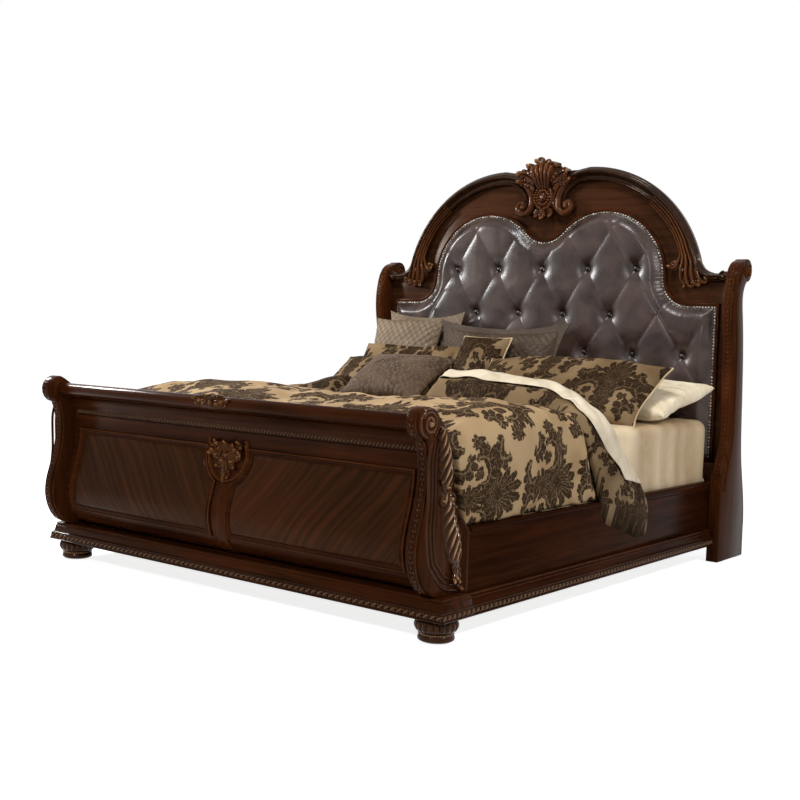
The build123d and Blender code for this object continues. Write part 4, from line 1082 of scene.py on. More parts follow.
def gadrooned_side():
    """The carving on each foot post's side: volute, twisted gadroons, S-scrolls and curled leaf."""
    front = curve([
        (0.017, 0.716), (0.008, 0.694), (0.016, 0.650), (0.021, 0.605), (0.031, 0.546), (0.038, 0.486),
        (0.045, 0.441), (0.053, 0.381), (0.077, 0.303), (0.105, 0.246), (0.128, 0.190)
    ], 210)
    back = curve([
        (0.026, 0.722), (0.050, 0.690), (0.077, 0.647), (0.093, 0.601), (0.099, 0.541), (0.103, 0.480),
        (0.124, 0.418), (0.148, 0.370), (0.160, 0.323), (0.163, 0.277), (0.160, 0.216)
    ], 210)
    share = np.linspace(0, 1, 210)
    across = np.linspace(0, 1, 24)
    for side, sign in SIDES:
        grid_share, grid_across = np.meshgrid(share, across, indexing="ij")
        flat = front[:, None] + (back - front)[:, None] * across[None, :, None]
        lobes = np.abs(np.cos(math.pi * (15 * grid_share**1.1 + grid_across * 2.5))) ** 1.2
        gap = hump(grid_share, 0.47, 0.050)
        bottom = smooth_step(0.86, 0.93, grid_share)
        crown = np.clip(1 - (2 * grid_across - 1) ** 2, 0, 1) ** 0.5
        high = 0.0012 + crown * (0.0014 + 0.0145 * lobes * (1 - gap) * (1 - bottom)) * smooth_step(
            0, 0.04, grid_share
        )
        edge = np.isin(grid_across, (0, 1)) | np.isin(grid_share, (0, 1))
        high = np.where(edge, -0.001, high)
        points = np.stack([sign * (POST_OUTER + high), FOOT + flat[..., 0], flat[..., 1]], axis=2)
        shape = Shape()
        # painted highlight on the gadroons' crests, none at the bottom
        shape.grid(points, relief=np.clip(1.08 * lobes**1.3 * crown * (1 - bottom), 0, 1))
        rim = outer_points(points)
        shape.add(rim, [tuple(range(len(rim)))], 0.0)
        out = X * sign
        volute = array(sign * POST_OUTER, SCROLL_Y, SCROLL_Z)
        spiral(shape, volute, -Y, Z, out, 0.038, 1.9, 0.0058, 0.0085, start=0.4)
        scroll_face = sign * (POST_OUTER + 0.003)
        spiral(
            shape, array(scroll_face, FOOT + 0.066, 0.517), Y, Z, out, 0.023, 1.4, 0.0050, 0.010, start=2.0,
            steps=36
        )
        spiral(
            shape, array(scroll_face, FOOT + 0.088, 0.478), -Y, -Z, out, 0.021, 1.4, 0.0050, 0.010, start=2.0,
            steps=36
        )
        spiral(
            shape, array(scroll_face, FOOT + 0.046, 0.474), Y, -Z, out, 0.015, 1.2, 0.0042, 0.009, start=1.0,
            steps=30
        )
        for y, z, degrees, length, width, bend, curl, count in (
            (0.112, 0.318, -72, 0.105, 0.044, -0.5, 0.4, 6), (0.126, 0.276, -84, 0.075, 0.034, -0.6, 0.5, 4),
            (0.140, 0.250, -62, 0.052, 0.030, -0.9, 0.5, 3), (0.148, 0.214, -100, 0.044, 0.028, 0.9, 0.5, 3),
            (0.078, 0.500, -70, 0.060, 0.024, 0.5, 0.4, 4), (0.062, 0.500, 112, 0.050, 0.022, 0.6, 0.4, 3),
            (0.018, 0.690, -48, 0.066, 0.026, -0.4, 0.35, 4),
        ):
            turn = math.radians(degrees)
            heading = array(0, math.cos(turn), math.sin(turn))
            leaf(
                shape, array(sign * (POST_OUTER + 0.003), FOOT + y, z), heading, out, length, width,
                bend * sign, curl, count
            )
        for stand in (0.0, 0.018, 0.036):
            line = curve([
                (-0.022 + stand, 0.668), (-0.034 + stand, 0.605), (-0.030 + stand, 0.480),
                (-0.036 + stand * 1.05, 0.385), (-0.020 + stand, 0.278 + stand * 0.3),
                (0.007 + stand * 0.9, 0.237 + stand * 0.5), (0.047 + stand * 0.7, 0.194 + stand * 0.8),
                (0.087 + stand * 0.4, 0.175 + stand), (0.146, 0.166 + stand)
            ], 120)
            path = np.stack([np.full(len(line), sign * POST_OUTER), FOOT + line[:, 0], line[:, 1]], axis=1)
            ridge(shape, path, out, 0.0052, 0.0058, 0.45)
        ring = arc((SCROLL_Y, SCROLL_Z), SCROLL_R - 0.006, 250, -60, 60)
        path = np.stack([np.full(60, sign * POST_OUTER), ring[:, 0], ring[:, 1]], axis=1)
        ridge(shape, path, out, 0.0042, 0.0055, 0.6)
        shape.make(f"foot_side_carving_{side}.gadroons", BRIGHT_CARVED, takes=(f"foot_side_carving_{side}",))


def post_backs():
    """The plain wood behind each post's carved side, which runs straight back to meet the rail."""
    rail_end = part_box("side_rail_right")[0].y
    heights = np.linspace(0.156, RAIL_TOP + 0.030, 26)
    for side, sign in SIDES:
        tree = surface(f"foot_post_{side}")
        middle = sign * (POST_OUTER + POST_INNER) / 2
        sections = []
        for height in heights:
            back = feel(tree, (middle, FOOT + 0.6, height), (0, -1, 0), Vector((0, FOOT + 0.1, 0))).y
            reach = back + (rail_end - back) * (1 - smooth_step(RAIL_TOP - 0.02, RAIL_TOP + 0.030, height))
            front, meet = min(back, reach - 0.020) - 0.012, reach - 0.0005
            face, flush, rear = sign * (POST_OUTER - 0.0008), sign * (RAIL_OUTER - 0.0012), sign * (
                POST_OUTER - 0.020
            )
            middle_y = front + (meet - front) * 0.6
            sections.append([
                (face, front, height), (flush, middle_y, height), (flush, meet, height), (rear, meet, height),
                (rear, front, height)
            ])
        shape = Shape()
        shape.grid(np.array(sections), closed=(False, True), caps=True)
        shape.make(f"foot_post_{side}.back", WOOD_UPRIGHT, sharp=30)


def plinth_carving():
    """The carved band that runs round the plinth, with a fillet above and below."""
    lean = math.atan2(0.009, 0.033)
    low, top, inset = 0.082, 0.115, 0.009
    height = (low + top) / 2
    x_end = PLINTH_OUTER - inset / 2
    y_front, y_end = FOOT + inset / 2, HEAD - 0.062
    sides = (
        (
            array(-x_end, y_front, height), array(x_end, y_front, height),
            array(0, -math.cos(lean), math.sin(lean))
        ),
        (
            array(x_end, y_front, height), array(x_end, y_end, height),
            array(math.cos(lean), 0, math.sin(lean))
        ),
        (
            array(-x_end, y_front, height), array(-x_end, y_end, height),
            array(-math.cos(lean), 0, math.sin(lean))
        )
    )
    shape = Shape()
    for start, end, out in sides:
        run = unit(end - start)
        up = unit(np.cross(out, run)) * (1 if np.cross(out, run)[2] > 0 else -1)
        length = np.linalg.norm(end - start)
        count = int(length / 0.027)
        for number in range(count):
            place = start + run * (number + 0.5) * length / count
            heading = unit(run * 0.80 + up * 0.60)
            shape.bead(
                place, heading * 0.0125, unit(np.cross(out, heading)) * 0.0050, out * 0.0052, relief=0.86,
                around=10, rings=2
            )
            for side in (-1, 1):
                spot = place + run * side * 0.0085 - up * side * 0.0058
                shape.bead(spot, run * 0.0036, up * 0.0036, out * 0.0044, relief=0.8, around=8, rings=2)
        for offset, width in ((-0.0140, 0.0022), (0.0140, 0.0024)):
            path = along(np.array([start + up * offset, end + up * offset]), 0.05)
            ridge(shape, path, out, width, 0.0030, 0.6, side=up)
    shape.make("plinth_band.carving", CARVED_DARK)


def plinth_fillets():
    """Two slim round mouldings under the plinth's top edge, run round the foot's corners."""
    shape = Shape()
    for inset, height, size in ((0.0235, 0.1500, 0.0042), (0.0187, 0.1385, 0.0030)):
        x, front, back = PLINTH_OUTER - inset, FOOT + inset, HEAD - 0.062
        corners = np.array([(-x, back, height), (-x, front, height), (x, front, height), (x, back, height)])
        for start, end, out in zip(corners, corners[1:], (-X, -Y, X)):
            path = along(np.array([start, end]), 0.08)
            ridge(shape, path, out, size, size, 0.55, side=Z)
    shape.make("plinth_fillets", WOOD)


def rail_beads():
    """The round bead along each side rail's top edge and the fine line under it."""
    for side, sign in SIDES:
        low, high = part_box(f"side_rail_{side}")
        shape = Shape()
        for drop, size in ((0.010, 0.0080), (0.031, 0.0026)):
            path = along(
                np.array([
                    (sign * RAIL_OUTER, low.y + 0.004, RAIL_TOP - drop),
                    (sign * RAIL_OUTER, high.y - 0.004, RAIL_TOP - drop)
                ]), 0.08
            )
            ridge(shape, path, X * sign, size, size * 0.62, 0.35, side=Z)
        shape.make(f"side_rail_{side}.bead", WOOD_RAIL)


def bun_feet():
    """Turned, fluted feet with a ring of beads under the bowl."""
    outline = curve([
        (0.052, 0.003), (0.061, 0.008), (0.063, 0.015), (0.060, 0.024), (0.057, 0.029), (0.060, 0.033),
        (0.071, 0.044), (0.0755, 0.057), (0.072, 0.070), (0.064, 0.079), (0.060, 0.082)
    ], 44)
    for side, _ in SIDES:
        low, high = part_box(f"bun_foot_{side}")
        centre = ((low.x + high.x) / 2, (low.y + high.y) / 2, 0)
        shape = Shape()

        def flute(turns, share):
            height = outline[int(round(share * 43)), 1]
            depth = 0.085 * hump(height, 0.058, 0.021)
            return 1 - depth * (1 - np.abs(np.cos(turns * 10)) ** 0.8)

        turns = np.arange(240) * math.tau / 240
        # painted highlight on the flutes' crests and on the lower ring
        relief = np.array([
            np.abs(np.cos(turns * 10)) * hump(height, 0.058, 0.02) * 0.6 + 0.25 * hump(height, 0.014, 0.006)
            for _, height in outline
        ])
        lathe(shape, centre, outline, 240, flute, relief)
        for number in range(44):
            turn = number * math.tau / 44
            out = array(math.cos(turn), math.sin(turn), 0)
            shape.bead(
                array(*centre) + out * 0.0575 + Z * 0.0295, np.cross(Z, out) * 0.0036, Z * 0.003,
                out * 0.0038, around=8, rings=2
            )
        shape.make(f"bun_foot_{side}.turned", CARVED, takes=(f"bun_foot_{side}",))


framed_fields()
roundel()
roundel_carving()
roll_carving()
rope_moulding()
bead_band("foot_post_bands.beads", "foot_post_bands", (POST_OUTER + POST_INNER) / 2, 0.180, 0.745, 0.017)
gadrooned_side()
post_backs()
plinth_carving()
plinth_fillets()
rail_beads()
bun_feet()


# -------------------------------------------------------------- headboard carving
ARCH_X, ARCH_Z, ARCH_R = 0.247, 1.243, 0.634
MOULDING_WIDTH = 0.068
HEAD_POST_INNER, HEAD_POST_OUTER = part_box("head_post_right")[0].x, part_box("head_post_right")[1].x
ARCH_TOP = ARCH_Z + ARCH_R
SPRING = array(ARCH_X + ARCH_R * math.cos(math.radians(14)), ARCH_Z + ARCH_R * math.sin(math.radians(14)))
# the arch moulding from its inner edge (0) to its outer one (1), and its height in millimetres
ARCH_PROFILE = [
    (0, 0), (0, 22), (0.03, 27), (0.075, 30), (0.12, 29), (0.155, 25), (0.18, 19), (0.24, 16.5), (0.33, 17.5),
    (0.42, 23), (0.48, 31), (0.54, 38), (0.61, 42.5), (0.69, 44), (0.77, 41.5), (0.83, 36), (0.86, 31),
    (0.90, 30), (0.93, 27), (0.965, 22), (1.0, 20), (1.0, 0)
]
# how much painted highlight each step of the arch moulding's profile gets
ARCH_RELIEF = [
    0, 0.1, 0.4, 0.6, 0.45, 0.2, 0, 0, 0, 0, 0.1, 0.25, 0.4, 0.5, 0.35, 0.1, 0.1, 0.2, 0.1, 0, 0, 0
]


def arch_edges():
    """The arch moulding's two edges (inner, outer) from the post to the C-scroll's end."""
    shoulder = 1.3454
    outer = [
        curve([
            (HEAD_POST_INNER - 0.002, shoulder), (0.960, shoulder - 0.002), (0.925, shoulder + 0.001),
            (0.885, shoulder + 0.020), tuple(SPRING)
        ], 24)[:-1], arc((ARCH_X, ARCH_Z), ARCH_R, 14, 90, 110)[:-1],
        curve([
            (ARCH_X, ARCH_TOP), (0.175, ARCH_TOP - 0.016), (0.113, ARCH_TOP - 0.058),
            (0.076, ARCH_TOP - 0.118), (0.074, ARCH_TOP - 0.178), (0.094, ARCH_TOP - 0.218),
            (0.128, ARCH_TOP - 0.228)
        ], 61)
    ]
    root = ARCH_R - MOULDING_WIDTH
    inner = [
        curve([
            (HEAD_POST_INNER - 0.002, shoulder - 0.040), (0.940, shoulder - 0.040), (0.870, shoulder - 0.038),
            (0.815, shoulder - 0.012),
            (ARCH_X + root * math.cos(math.radians(14)), ARCH_Z + root * math.sin(math.radians(14)))
        ], 24)[:-1], arc((ARCH_X, ARCH_Z), root, 14, 90, 110)[:-1],
        curve([
            (ARCH_X, ARCH_TOP - MOULDING_WIDTH), (0.198, ARCH_TOP - 0.074), (0.150, ARCH_TOP - 0.100),
            (0.120, ARCH_TOP - 0.138), (0.112, ARCH_TOP - 0.172), (0.116, ARCH_TOP - 0.190),
            (0.128, ARCH_TOP - 0.198)
        ], 61)
    ]
    return np.concatenate(inner), np.concatenate(outer)


def arch_mouldings():
    """Both halves of the arch, with the C-scrolls at the crest and the volutes at the posts."""
    inner, outer = arch_edges()
    profile = np.array(ARCH_PROFILE)
    for side, sign in SIDES:
        shape = Shape()
        flat = inner[:, None] + (outer - inner)[:, None] * profile[None, :, :1]
        high = np.broadcast_to(profile[None, :, 1], flat.shape[:2]) / 1000
        points = np.stack([sign * flat[..., 0], PANEL_FACE - high, flat[..., 1]], axis=2)
        shape.grid(
            points, relief=np.broadcast_to(0.75 * array(*ARCH_RELIEF), flat.shape[:2]), closed=(False, True),
            caps=True
        )
        out = -Y
        for x, z, radius, turns, thick, start in ((
            0.136, ARCH_TOP - 0.188, 0.033, 1.6, 0.0078, 4.2
        ), (HEAD_POST_INNER - 0.022, 1.330, 0.020, 1.6, 0.0050, 1.5)):
            disc = array(sign * x, PANEL_FACE - 0.010, z)
            shape.bead(
                disc, X * (radius + 0.004), Z * (radius + 0.004), out * 0.026, relief=0.1, around=24, rings=5
            )
            spiral(
                shape, array(sign * x, PANEL_FACE - 0.028, z), X * sign, Z, out, radius, turns, thick, 0.012,
                start=start, steps=50
            )
        shape.make(f"arch_moulding_{side}.carved", HEAD_CARVED, takes=(f"arch_moulding_{side}",), sharp=42)


def arch_leaves():
    """The fluted foot of the arch: ridges that run down it, part and curl at their tips."""
    def arch(turn, radius):
        return ARCH_X + radius * math.cos(math.radians(turn)), ARCH_Z + radius * math.sin(math.radians(turn))

    flutes = (
        (
            0.612,
            [(0.842, 1.400), (0.852, 1.352), (0.868, 1.312), (0.888, 1.300), (0.899, 1.312), (0.892, 1.322)]
        ),
        (
            0.597,
            [(0.820, 1.398), (0.825, 1.345), (0.836, 1.303), (0.855, 1.288), (0.869, 1.297), (0.862, 1.308)]
        ),
        (
            0.582,
            [(0.797, 1.398), (0.797, 1.345), (0.804, 1.300), (0.820, 1.281), (0.836, 1.289), (0.830, 1.300)]
        ), (0.568, [(0.776, 1.402), (0.768, 1.355), (0.770, 1.315), (0.786, 1.297), (0.800, 1.306)]),
        (
            0.556,
            [(0.757, 1.412), (0.742, 1.378), (0.725, 1.368), (0.712, 1.380), (0.718, 1.396), (0.734, 1.397)]
        )
    )
    leaves = mirrored([
        (0.770, 1.385, PANEL_FACE - 0.022, -150, 0.066, 0.040, -0.8, 0.5, 4),
        (0.800, 1.352, PANEL_FACE - 0.022, -112, 0.072, 0.036, 0.5, 0.4, 4),
        (0.838, 1.350, PANEL_FACE - 0.020, -84, 0.068, 0.034, 0.5, 0.4, 4),
        (0.862, 1.352, PANEL_FACE - 0.022, -28, 0.090, 0.030, 0.3, 0.3, 5),
    ])

    def fan(shape):
        for sign in (-1, 1):
            for number, (radius, points) in enumerate(flutes):
                line = curve([
                    arch(52, radius), arch(40, radius), arch(29, radius - 0.002), arch(21, radius - 0.006),
                    *points
                ], 110)
                share = np.linspace(0, 1, len(line))
                stand = 0.0425 - 0.0165 * smooth_step(0.55, 0.95, share) - 0.004 * abs(number - 1.5)
                path = np.stack([sign * line[:, 0], PANEL_FACE - stand, line[:, 1]], axis=1)
                swell = (0.0020 + 0.0048 * smooth_step(0.0, 0.55, share))[:, None, None] * array(1, 1.5)[
                    None, None
                ]
                side = unit(np.cross(directions(path), -Y))
                shape.run(path, side, -Y, HALF_ROUND[None] * swell - array(0, 0.003), 0.7)
                tip = path[-1]
                shape.boss(tip, 0.009, 0.009, 0.013, 0.9, 12, 4)
            shape.boss(array(sign * 0.812, PANEL_FACE, 1.352), 0.068, 0.062, 0.030, 0.1, 32, 7)
            shape.boss(array(sign * 0.738, PANEL_FACE - 0.008, 1.382), 0.024, 0.022, 0.030, 0.4, 20, 5)

    cluster("arch_leaves.acanthus", "arch_leaves", leaves, fan)


def crest():
    """The cartouche: an oval boss in a ring of beads, fluted above, with leaves all round."""
    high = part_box("crest_cartouche")[1]
    face = PANEL_FACE - 0.042
    boss_z = ARCH_TOP - 0.146
    leaves = mirrored([
        (0.046, boss_z + 0.070, face + 0.004, 56, 0.120, 0.080, -0.95, 0.45, 6),
        (0.054, boss_z + 0.062, face + 0.006, 30, 0.104, 0.060, -0.55, 0.4, 5),
        (0.030, boss_z + 0.084, face, 80, 0.098, 0.070, -0.85, 0.5, 4),
        (0.060, boss_z + 0.030, face + 0.002, 70, 0.070, 0.036, -0.4, 0.3, 4),
        (0.030, boss_z - 0.052, face + 0.002, -62, 0.044, 0.040, -0.5, 0.4, 3),
    ])
    leaves.append((0, boss_z - 0.050, face - 0.004, -90, 0.056, 0.056, 0.0, 0.45, 4))
    leaves.append((-0.006, boss_z + 0.122, face - 0.010, 96, 0.068, 0.064, 0.5, 0.6, 4))
    arm = [
        (0.166, ARCH_TOP - 0.040), (0.112, ARCH_TOP - 0.084), (0.082, ARCH_TOP - 0.140),
        (0.083, ARCH_TOP - 0.196), (0.110, ARCH_TOP - 0.226), (0.142, ARCH_TOP - 0.221),
        (0.159, ARCH_TOP - 0.197), (0.150, ARCH_TOP - 0.174), (0.130, ARCH_TOP - 0.172),
        (0.122, ARCH_TOP - 0.186)
    ]

    def shell(shape):
        for sign in (-1, 1):
            line = curve(arm, 90)
            share = np.linspace(0, 1, 90)
            path = np.stack([
                sign * line[:, 0], PANEL_FACE - 0.030 - 0.012 * smooth_step(0.1, 0.6, share), line[:, 1]
            ], axis=1)
            size = (0.0165 - 0.0065 * smooth_step(0.45, 1.0, share))[:, None, None] * array(1, 1.15)[
                None, None
            ]
            side = unit(np.cross(directions(path), -Y))
            shape.run(path, side, -Y, HALF_ROUND[None] * size - array(0, 0.006), 0.55)
            inner = np.stack([
                sign * (line[:66, 0] - 0.020), np.full(66, PANEL_FACE - 0.036), line[:66, 1] + 0.004
            ], axis=1)
            ridge(shape, inner, -Y, 0.0052, 0.013, 0.6, sink=0.006)
            shape.boss(
                array(sign * 0.136, PANEL_FACE - 0.020, ARCH_TOP - 0.197), 0.026, 0.026, 0.022, 0.2, 24, 5
            )
            shape.boss(
                array(sign * 0.128, PANEL_FACE - 0.040, ARCH_TOP - 0.192), 0.011, 0.011, 0.016, 0.8, 16, 5
            )
        for number in range(-2, 3):
            turn = math.radians(93 - number * 8)
            heading = array(math.cos(turn), 0, math.sin(turn))
            reach = 0.134 - 0.008 * abs(number)
            root = array(number * 0.0135, face - 0.002, boss_z + 0.044)
            side = np.cross(-Y, heading)
            share = np.linspace(0, 1, 24)
            path = root + share[:, None] * reach * heading - Y * (
                0.008 + 0.020 * np.sin(share * math.pi * 0.75)
            )[:, None]
            width = 0.0052 + 0.0075 * share * np.sqrt(np.clip(1.04 - share**6, 0, 1))
            profile = HALF_ROUND[None] * np.stack([width, width * 1.1], axis=1)[:, None] - array(0, 0.022)[
                None, None
            ] * (np.abs(HALF_ROUND[None, :, 1:]) < 1e-6)
            shape.run(path, side, -Y, profile, 0.30 + 0.5 * share.repeat(7))
        spiral(
            shape, array(-0.012, face - 0.024, high.z - 0.028), X, Z, -Y, 0.022, 1.3, 0.0075, 0.014,
            start=-0.6, steps=40
        )
        spiral(
            shape, array(0.034, face - 0.018, high.z - 0.030), -X, Z, -Y, 0.014, 1.2, 0.0055, 0.011,
            start=-0.4, steps=30
        )
        body = array(0, PANEL_FACE, boss_z)
        shape.boss(body, 0.070, 0.086, 0.048, 0.1, 36, 7)
        shape.boss(body + Z * 0.105, 0.098, 0.088, 0.046, 0.1, 40, 8)
        centre = array(0, face - 0.004, boss_z)
        shape.boss(centre, 0.024, 0.028, 0.020, 0.35, 30, 6)
        shape.boss(centre - Y * 0.017, 0.008, 0.008, 0.008, 1.0)
        for count, wide, tall, size, stand in ((
            16, 0.033, 0.037, 0.0062, 0.006
        ), (26, 0.050, 0.058, 0.0066, 0.0)):
            for number in range(count):
                turn = number * math.tau / count
                place = centre + X * wide * math.cos(turn) + Z * tall * math.sin(turn) - Y * stand
                shape.boss(place, size, size, 0.011, 0.8, 8, 3)

    cluster("crest_cartouche.carved", "crest_cartouche", leaves, shell)


def head_post_carving():
    """Ridges that follow the wings, and the volute at their tops."""
    shape = Shape()
    for _, sign in SIDES:
        out = X * sign
        face = sign * HEAD_POST_OUTER
        for stand in (0.012, 0.026):
            line = curve([
                (-0.046 + stand, 0.330), (-0.022 + stand, 0.452), (0.012 + stand, 0.545),
                (0.020 + stand, 0.660), (0.010 + stand, 1.000), (-0.016 + stand, 1.170),
                (-0.007 + stand, 1.270), (0.032 + stand, 1.352 - stand * 0.5), (0.078, 1.392 - stand)
            ], 120)
            path = np.stack([np.full(len(line), face), HEAD + line[:, 0], line[:, 1]], axis=1)
            ridge(shape, path, out, 0.0040, 0.0050, 0.5)
        spiral(shape, array(face, HEAD + 0.126, 1.357), Y, Z, out, 0.036, 1.8, 0.0058, 0.0075, start=0.6)
        inner = sign * HEAD_POST_INNER
        spiral(shape, array(inner, HEAD + 0.126, 1.357), Y, Z, -out, 0.036, 1.8, 0.0058, 0.0075, start=0.6)
    shape.make("head_posts.ridges", WOOD_UPRIGHT)


arch_mouldings()
arch_leaves()
crest()
head_post_carving()
bead_band(
    "head_post_bands.beads", "head_post_bands", (HEAD_POST_OUTER + HEAD_POST_INNER) / 2, 0.415, 1.375, 0.021
)


# ------------------------------------------------------------- the tufted headboard
PAD_LOW, PAD_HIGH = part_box("tufted_pad")
HUMP_X, HUMP_Z, HUMP_R = 0.345, 1.323, 0.323
SHOULDER_X, SHOULDER_R = 0.808, 0.140
CORNER_X, UPHOLSTERY_LOW = 0.946, 0.480
DIP_Z, DIP_R = 1.499, 0.1553
PAD_FULL = PAD_HIGH.y - PAD_LOW.y


def camel_line(grow=0.0, step=0.008):
    """The camel-backed top edge from the left corner to the right one, grown outwards."""
    dip = (0, DIP_Z + DIP_R)
    meet = math.degrees(math.atan2(dip[1] - HUMP_Z, dip[0] - HUMP_X))
    corner = (CORNER_X + grow, HUMP_Z - SHOULDER_R + grow)
    half = [
        np.array([corner, (SHOULDER_X, corner[1])]),
        arc((SHOULDER_X, HUMP_Z), SHOULDER_R - grow, 270, 180, 30),
        arc((HUMP_X, HUMP_Z), HUMP_R + grow, 0, meet, 80),
        arc(dip, DIP_R - grow, meet + 180, 270, 20),
    ]
    right = along(np.concatenate(half), step)
    left = right[-2::-1] * array(-1, 1)
    return np.concatenate([right, left])[::-1]


def button_places():
    """The tufts: one diagonal lattice, kept clear of the outline."""
    places = []
    for row, drop in enumerate((-0.045, 0.183, 0.373, 0.563)):
        start = 0 if row % 2 == 0 else 0.133
        for step in range(-4, 5):
            x, z = start + step * 0.266, HUMP_Z - drop
            if z < HUMP_Z - SHOULDER_R - 0.07:
                inside = abs(x) < CORNER_X - 0.07
            else:
                inside = math.hypot(abs(x) - HUMP_X, z - HUMP_Z) < HUMP_R - 0.07 or (
                    abs(x) < HUMP_X and z < DIP_Z - 0.07
                )
            if inside:
                places.append((x, z))
    return places


def pleats(places):
    """The folds: between neighbouring tufts, and from the outer tufts out to the edge."""
    lines = []
    for x, z in places:
        for step_x, step_z in ((0.133, -0.190), (-0.133, -0.190), (0.133, -0.228), (-0.133, -0.228)):
            for other_x, other_z in places:
                if abs(other_x - x - step_x) < 0.01 and abs(other_z - z - step_z) < 0.01:
                    lines.append(((x, z), (other_x, other_z)))
        for step_x, step_z in ((0.133, 0.2), (-0.133, 0.2), (0.133, -0.2), (-0.133, -0.2)):
            if any(
                abs(other_x - x - step_x) < 0.01 and 0 < (other_z - z) * np.sign(step_z) < 0.24
                for other_x, other_z in places
            ):
                continue
            lines.append(((x, z), (x + step_x * 1.5, z + step_z * 1.5)))
    return lines


def distance_to(x, z, line):
    """How far each place is from a straight fold."""
    (start_x, start_z), (end_x, end_z) = line
    run_x, run_z = end_x - start_x, end_z - start_z
    share = np.clip(((x - start_x) * run_x + (z - start_z) * run_z) / (run_x**2 + run_z**2), 0, 1)
    return np.hypot(x - start_x - share * run_x, z - start_z - share * run_z)


def tufted_pad():
    """The leather pad: tight diamonds between the tufts, pulled down to a flat nailed border."""
    top = camel_line(0.007, 0.007)
    rows = 190
    low = UPHOLSTERY_LOW - 0.007
    share = np.linspace(0, 1, rows)[None]
    x = np.repeat(top[:, :1], rows, axis=1)
    z = low + (top[:, 1:] - low) * share
    edge = np.minimum(np.abs(z - low), CORNER_X + 0.007 - np.abs(x))
    far = np.full(x.shape, 9.0)
    for point_x, point_z in along(camel_line(0.007, 0.02), 0.02):
        far = np.minimum(far, np.hypot(x - point_x, z - point_z))
    edge = np.minimum(edge, far)
    places = button_places()
    crease, tuft = np.full(x.shape, 9.0), np.full(x.shape, 9.0)
    for line in pleats(places):
        crease = np.minimum(crease, distance_to(x, z, line))
    for place in places:
        tuft = np.minimum(tuft, np.hypot(x - place[0], z - place[1]))
    crown = smooth_step(0.012, 0.066, edge) ** 0.62
    puff = 1 - np.exp(-crease / 0.020)
    fullness = 0.74 + 0.26 * (1 - np.exp(-tuft / 0.075))
    pull = np.exp(-((tuft / 0.027) ** 1.1))
    high = 0.006 + (PAD_FULL - 0.006) * crown * np.clip(
        fullness * (0.84 + 0.16 * puff) - 0.84 * pull, 0.05, 1
    )
    high += 0.0006 * np.sin(x * 31 + 2 * np.sin(z * 17)) * np.sin(z * 23 + 2 * np.sin(x * 13)) * crown
    # painted shade for the leather: low relief in the creases and at the tufts
    relief = np.clip(0.55 * puff + 0.6 - 0.9 * pull, 0, 1)
    shape = Shape()
    front = np.stack([x, PAD_HIGH.y - high, z], axis=2)
    back = np.stack([x, np.full(x.shape, PAD_HIGH.y), z], axis=2)
    rear = outer_points(back)
    shape.grid(front, relief=relief)
    shape.grid(np.stack([outer_points(front), rear]), relief=0.2, closed=(False, True))
    shape.add(rear, [tuple(range(len(rear)))], 0.2)
    pad = shape.make("tufted_pad.leather", LEATHER, takes=("tufted_pad",), sharp=60)


def solid_boxes(node):
    """The lowest and highest corners of each separate solid of a CAD node."""
    work = bmesh.new()
    work.from_mesh(nodes[node].data)
    bmesh.ops.remove_doubles(work, verts=work.verts, dist=1e-5)
    seen, found = set(), []
    for vertex in work.verts:
        if vertex in seen:
            continue
        island, front = [], [vertex]
        seen.add(vertex)
        while front:
            here = front.pop()
            island.append(here.co.copy())
            for line in here.link_edges:
                other = line.other_vert(here)
                if other not in seen:
                    seen.add(other)
                    front.append(other)
        low = Vector([min(point[axis] for point in island) for axis in range(3)])
        high = Vector([max(point[axis] for point in island) for axis in range(3)])
        found.append((low, high))
    work.free()
    return found


def nails_and_buttons():
    """Domed nails round the leather, and its covered buttons."""
    for node, piece, finish, radius, tall, relief, around, rings in (
        ("nailheads", "nailheads.domes", NAIL, 0.0061, 0.0048, 1.0, 12, 3),
        # the buttons' relief of 0.25 darkens them halfway with the leather's painted shade
        ("tuft_buttons", "tuft_buttons.covered", LEATHER, 0.0105, 0.0060, 0.25, 16, 4),
    ):
        shape = Shape()
        for low, high in solid_boxes(node):
            centre = array((low.x + high.x) / 2, high.y, (low.z + high.z) / 2)
            shape.bead(centre, X * radius, Z * radius, -Y * tall, relief, around, rings)
        shape.make(piece, finish, takes=(node,))


tufted_pad()
nails_and_buttons()


# ------------------------------------------------------------------------- bedding
def rings(low, high, corner, step):
    """A rounded rectangle in plan, as points a step apart and their outward directions."""
    straight_x, straight_y = high[0] - low[0] - 2 * corner, high[1] - low[1] - 2 * corner
    points, outs = [], []
    middle = ((low[0] + high[0]) / 2, (low[1] + high[1]) / 2)
    for quarter, (sign_x, sign_y) in enumerate(((1, 1), (-1, 1), (-1, -1), (1, -1))):
        turns = np.radians(np.linspace(90 * quarter, 90 * quarter + 90, 9))
        for turn in turns:
            outs.append((math.cos(turn), math.sin(turn)))
            points.append((
                middle[0] + sign_x * straight_x / 2 + corner * outs[-1][0],
                middle[1] + sign_y * straight_y / 2 + corner * outs[-1][1]
            ))
    closed = np.array([*points, points[0]])
    places = along(closed, step)[:-1]
    outward = np.array([*outs, outs[0]])
    gone = np.concatenate([[0], np.cumsum(np.linalg.norm(np.diff(closed, axis=0), axis=1))])
    spread = np.linspace(0, gone[-1], len(places) + 1)[:-1]
    outward = unit(np.stack([np.interp(spread, gone, outward[:, axis]) for axis in (0, 1)], axis=1))
    return places, outward


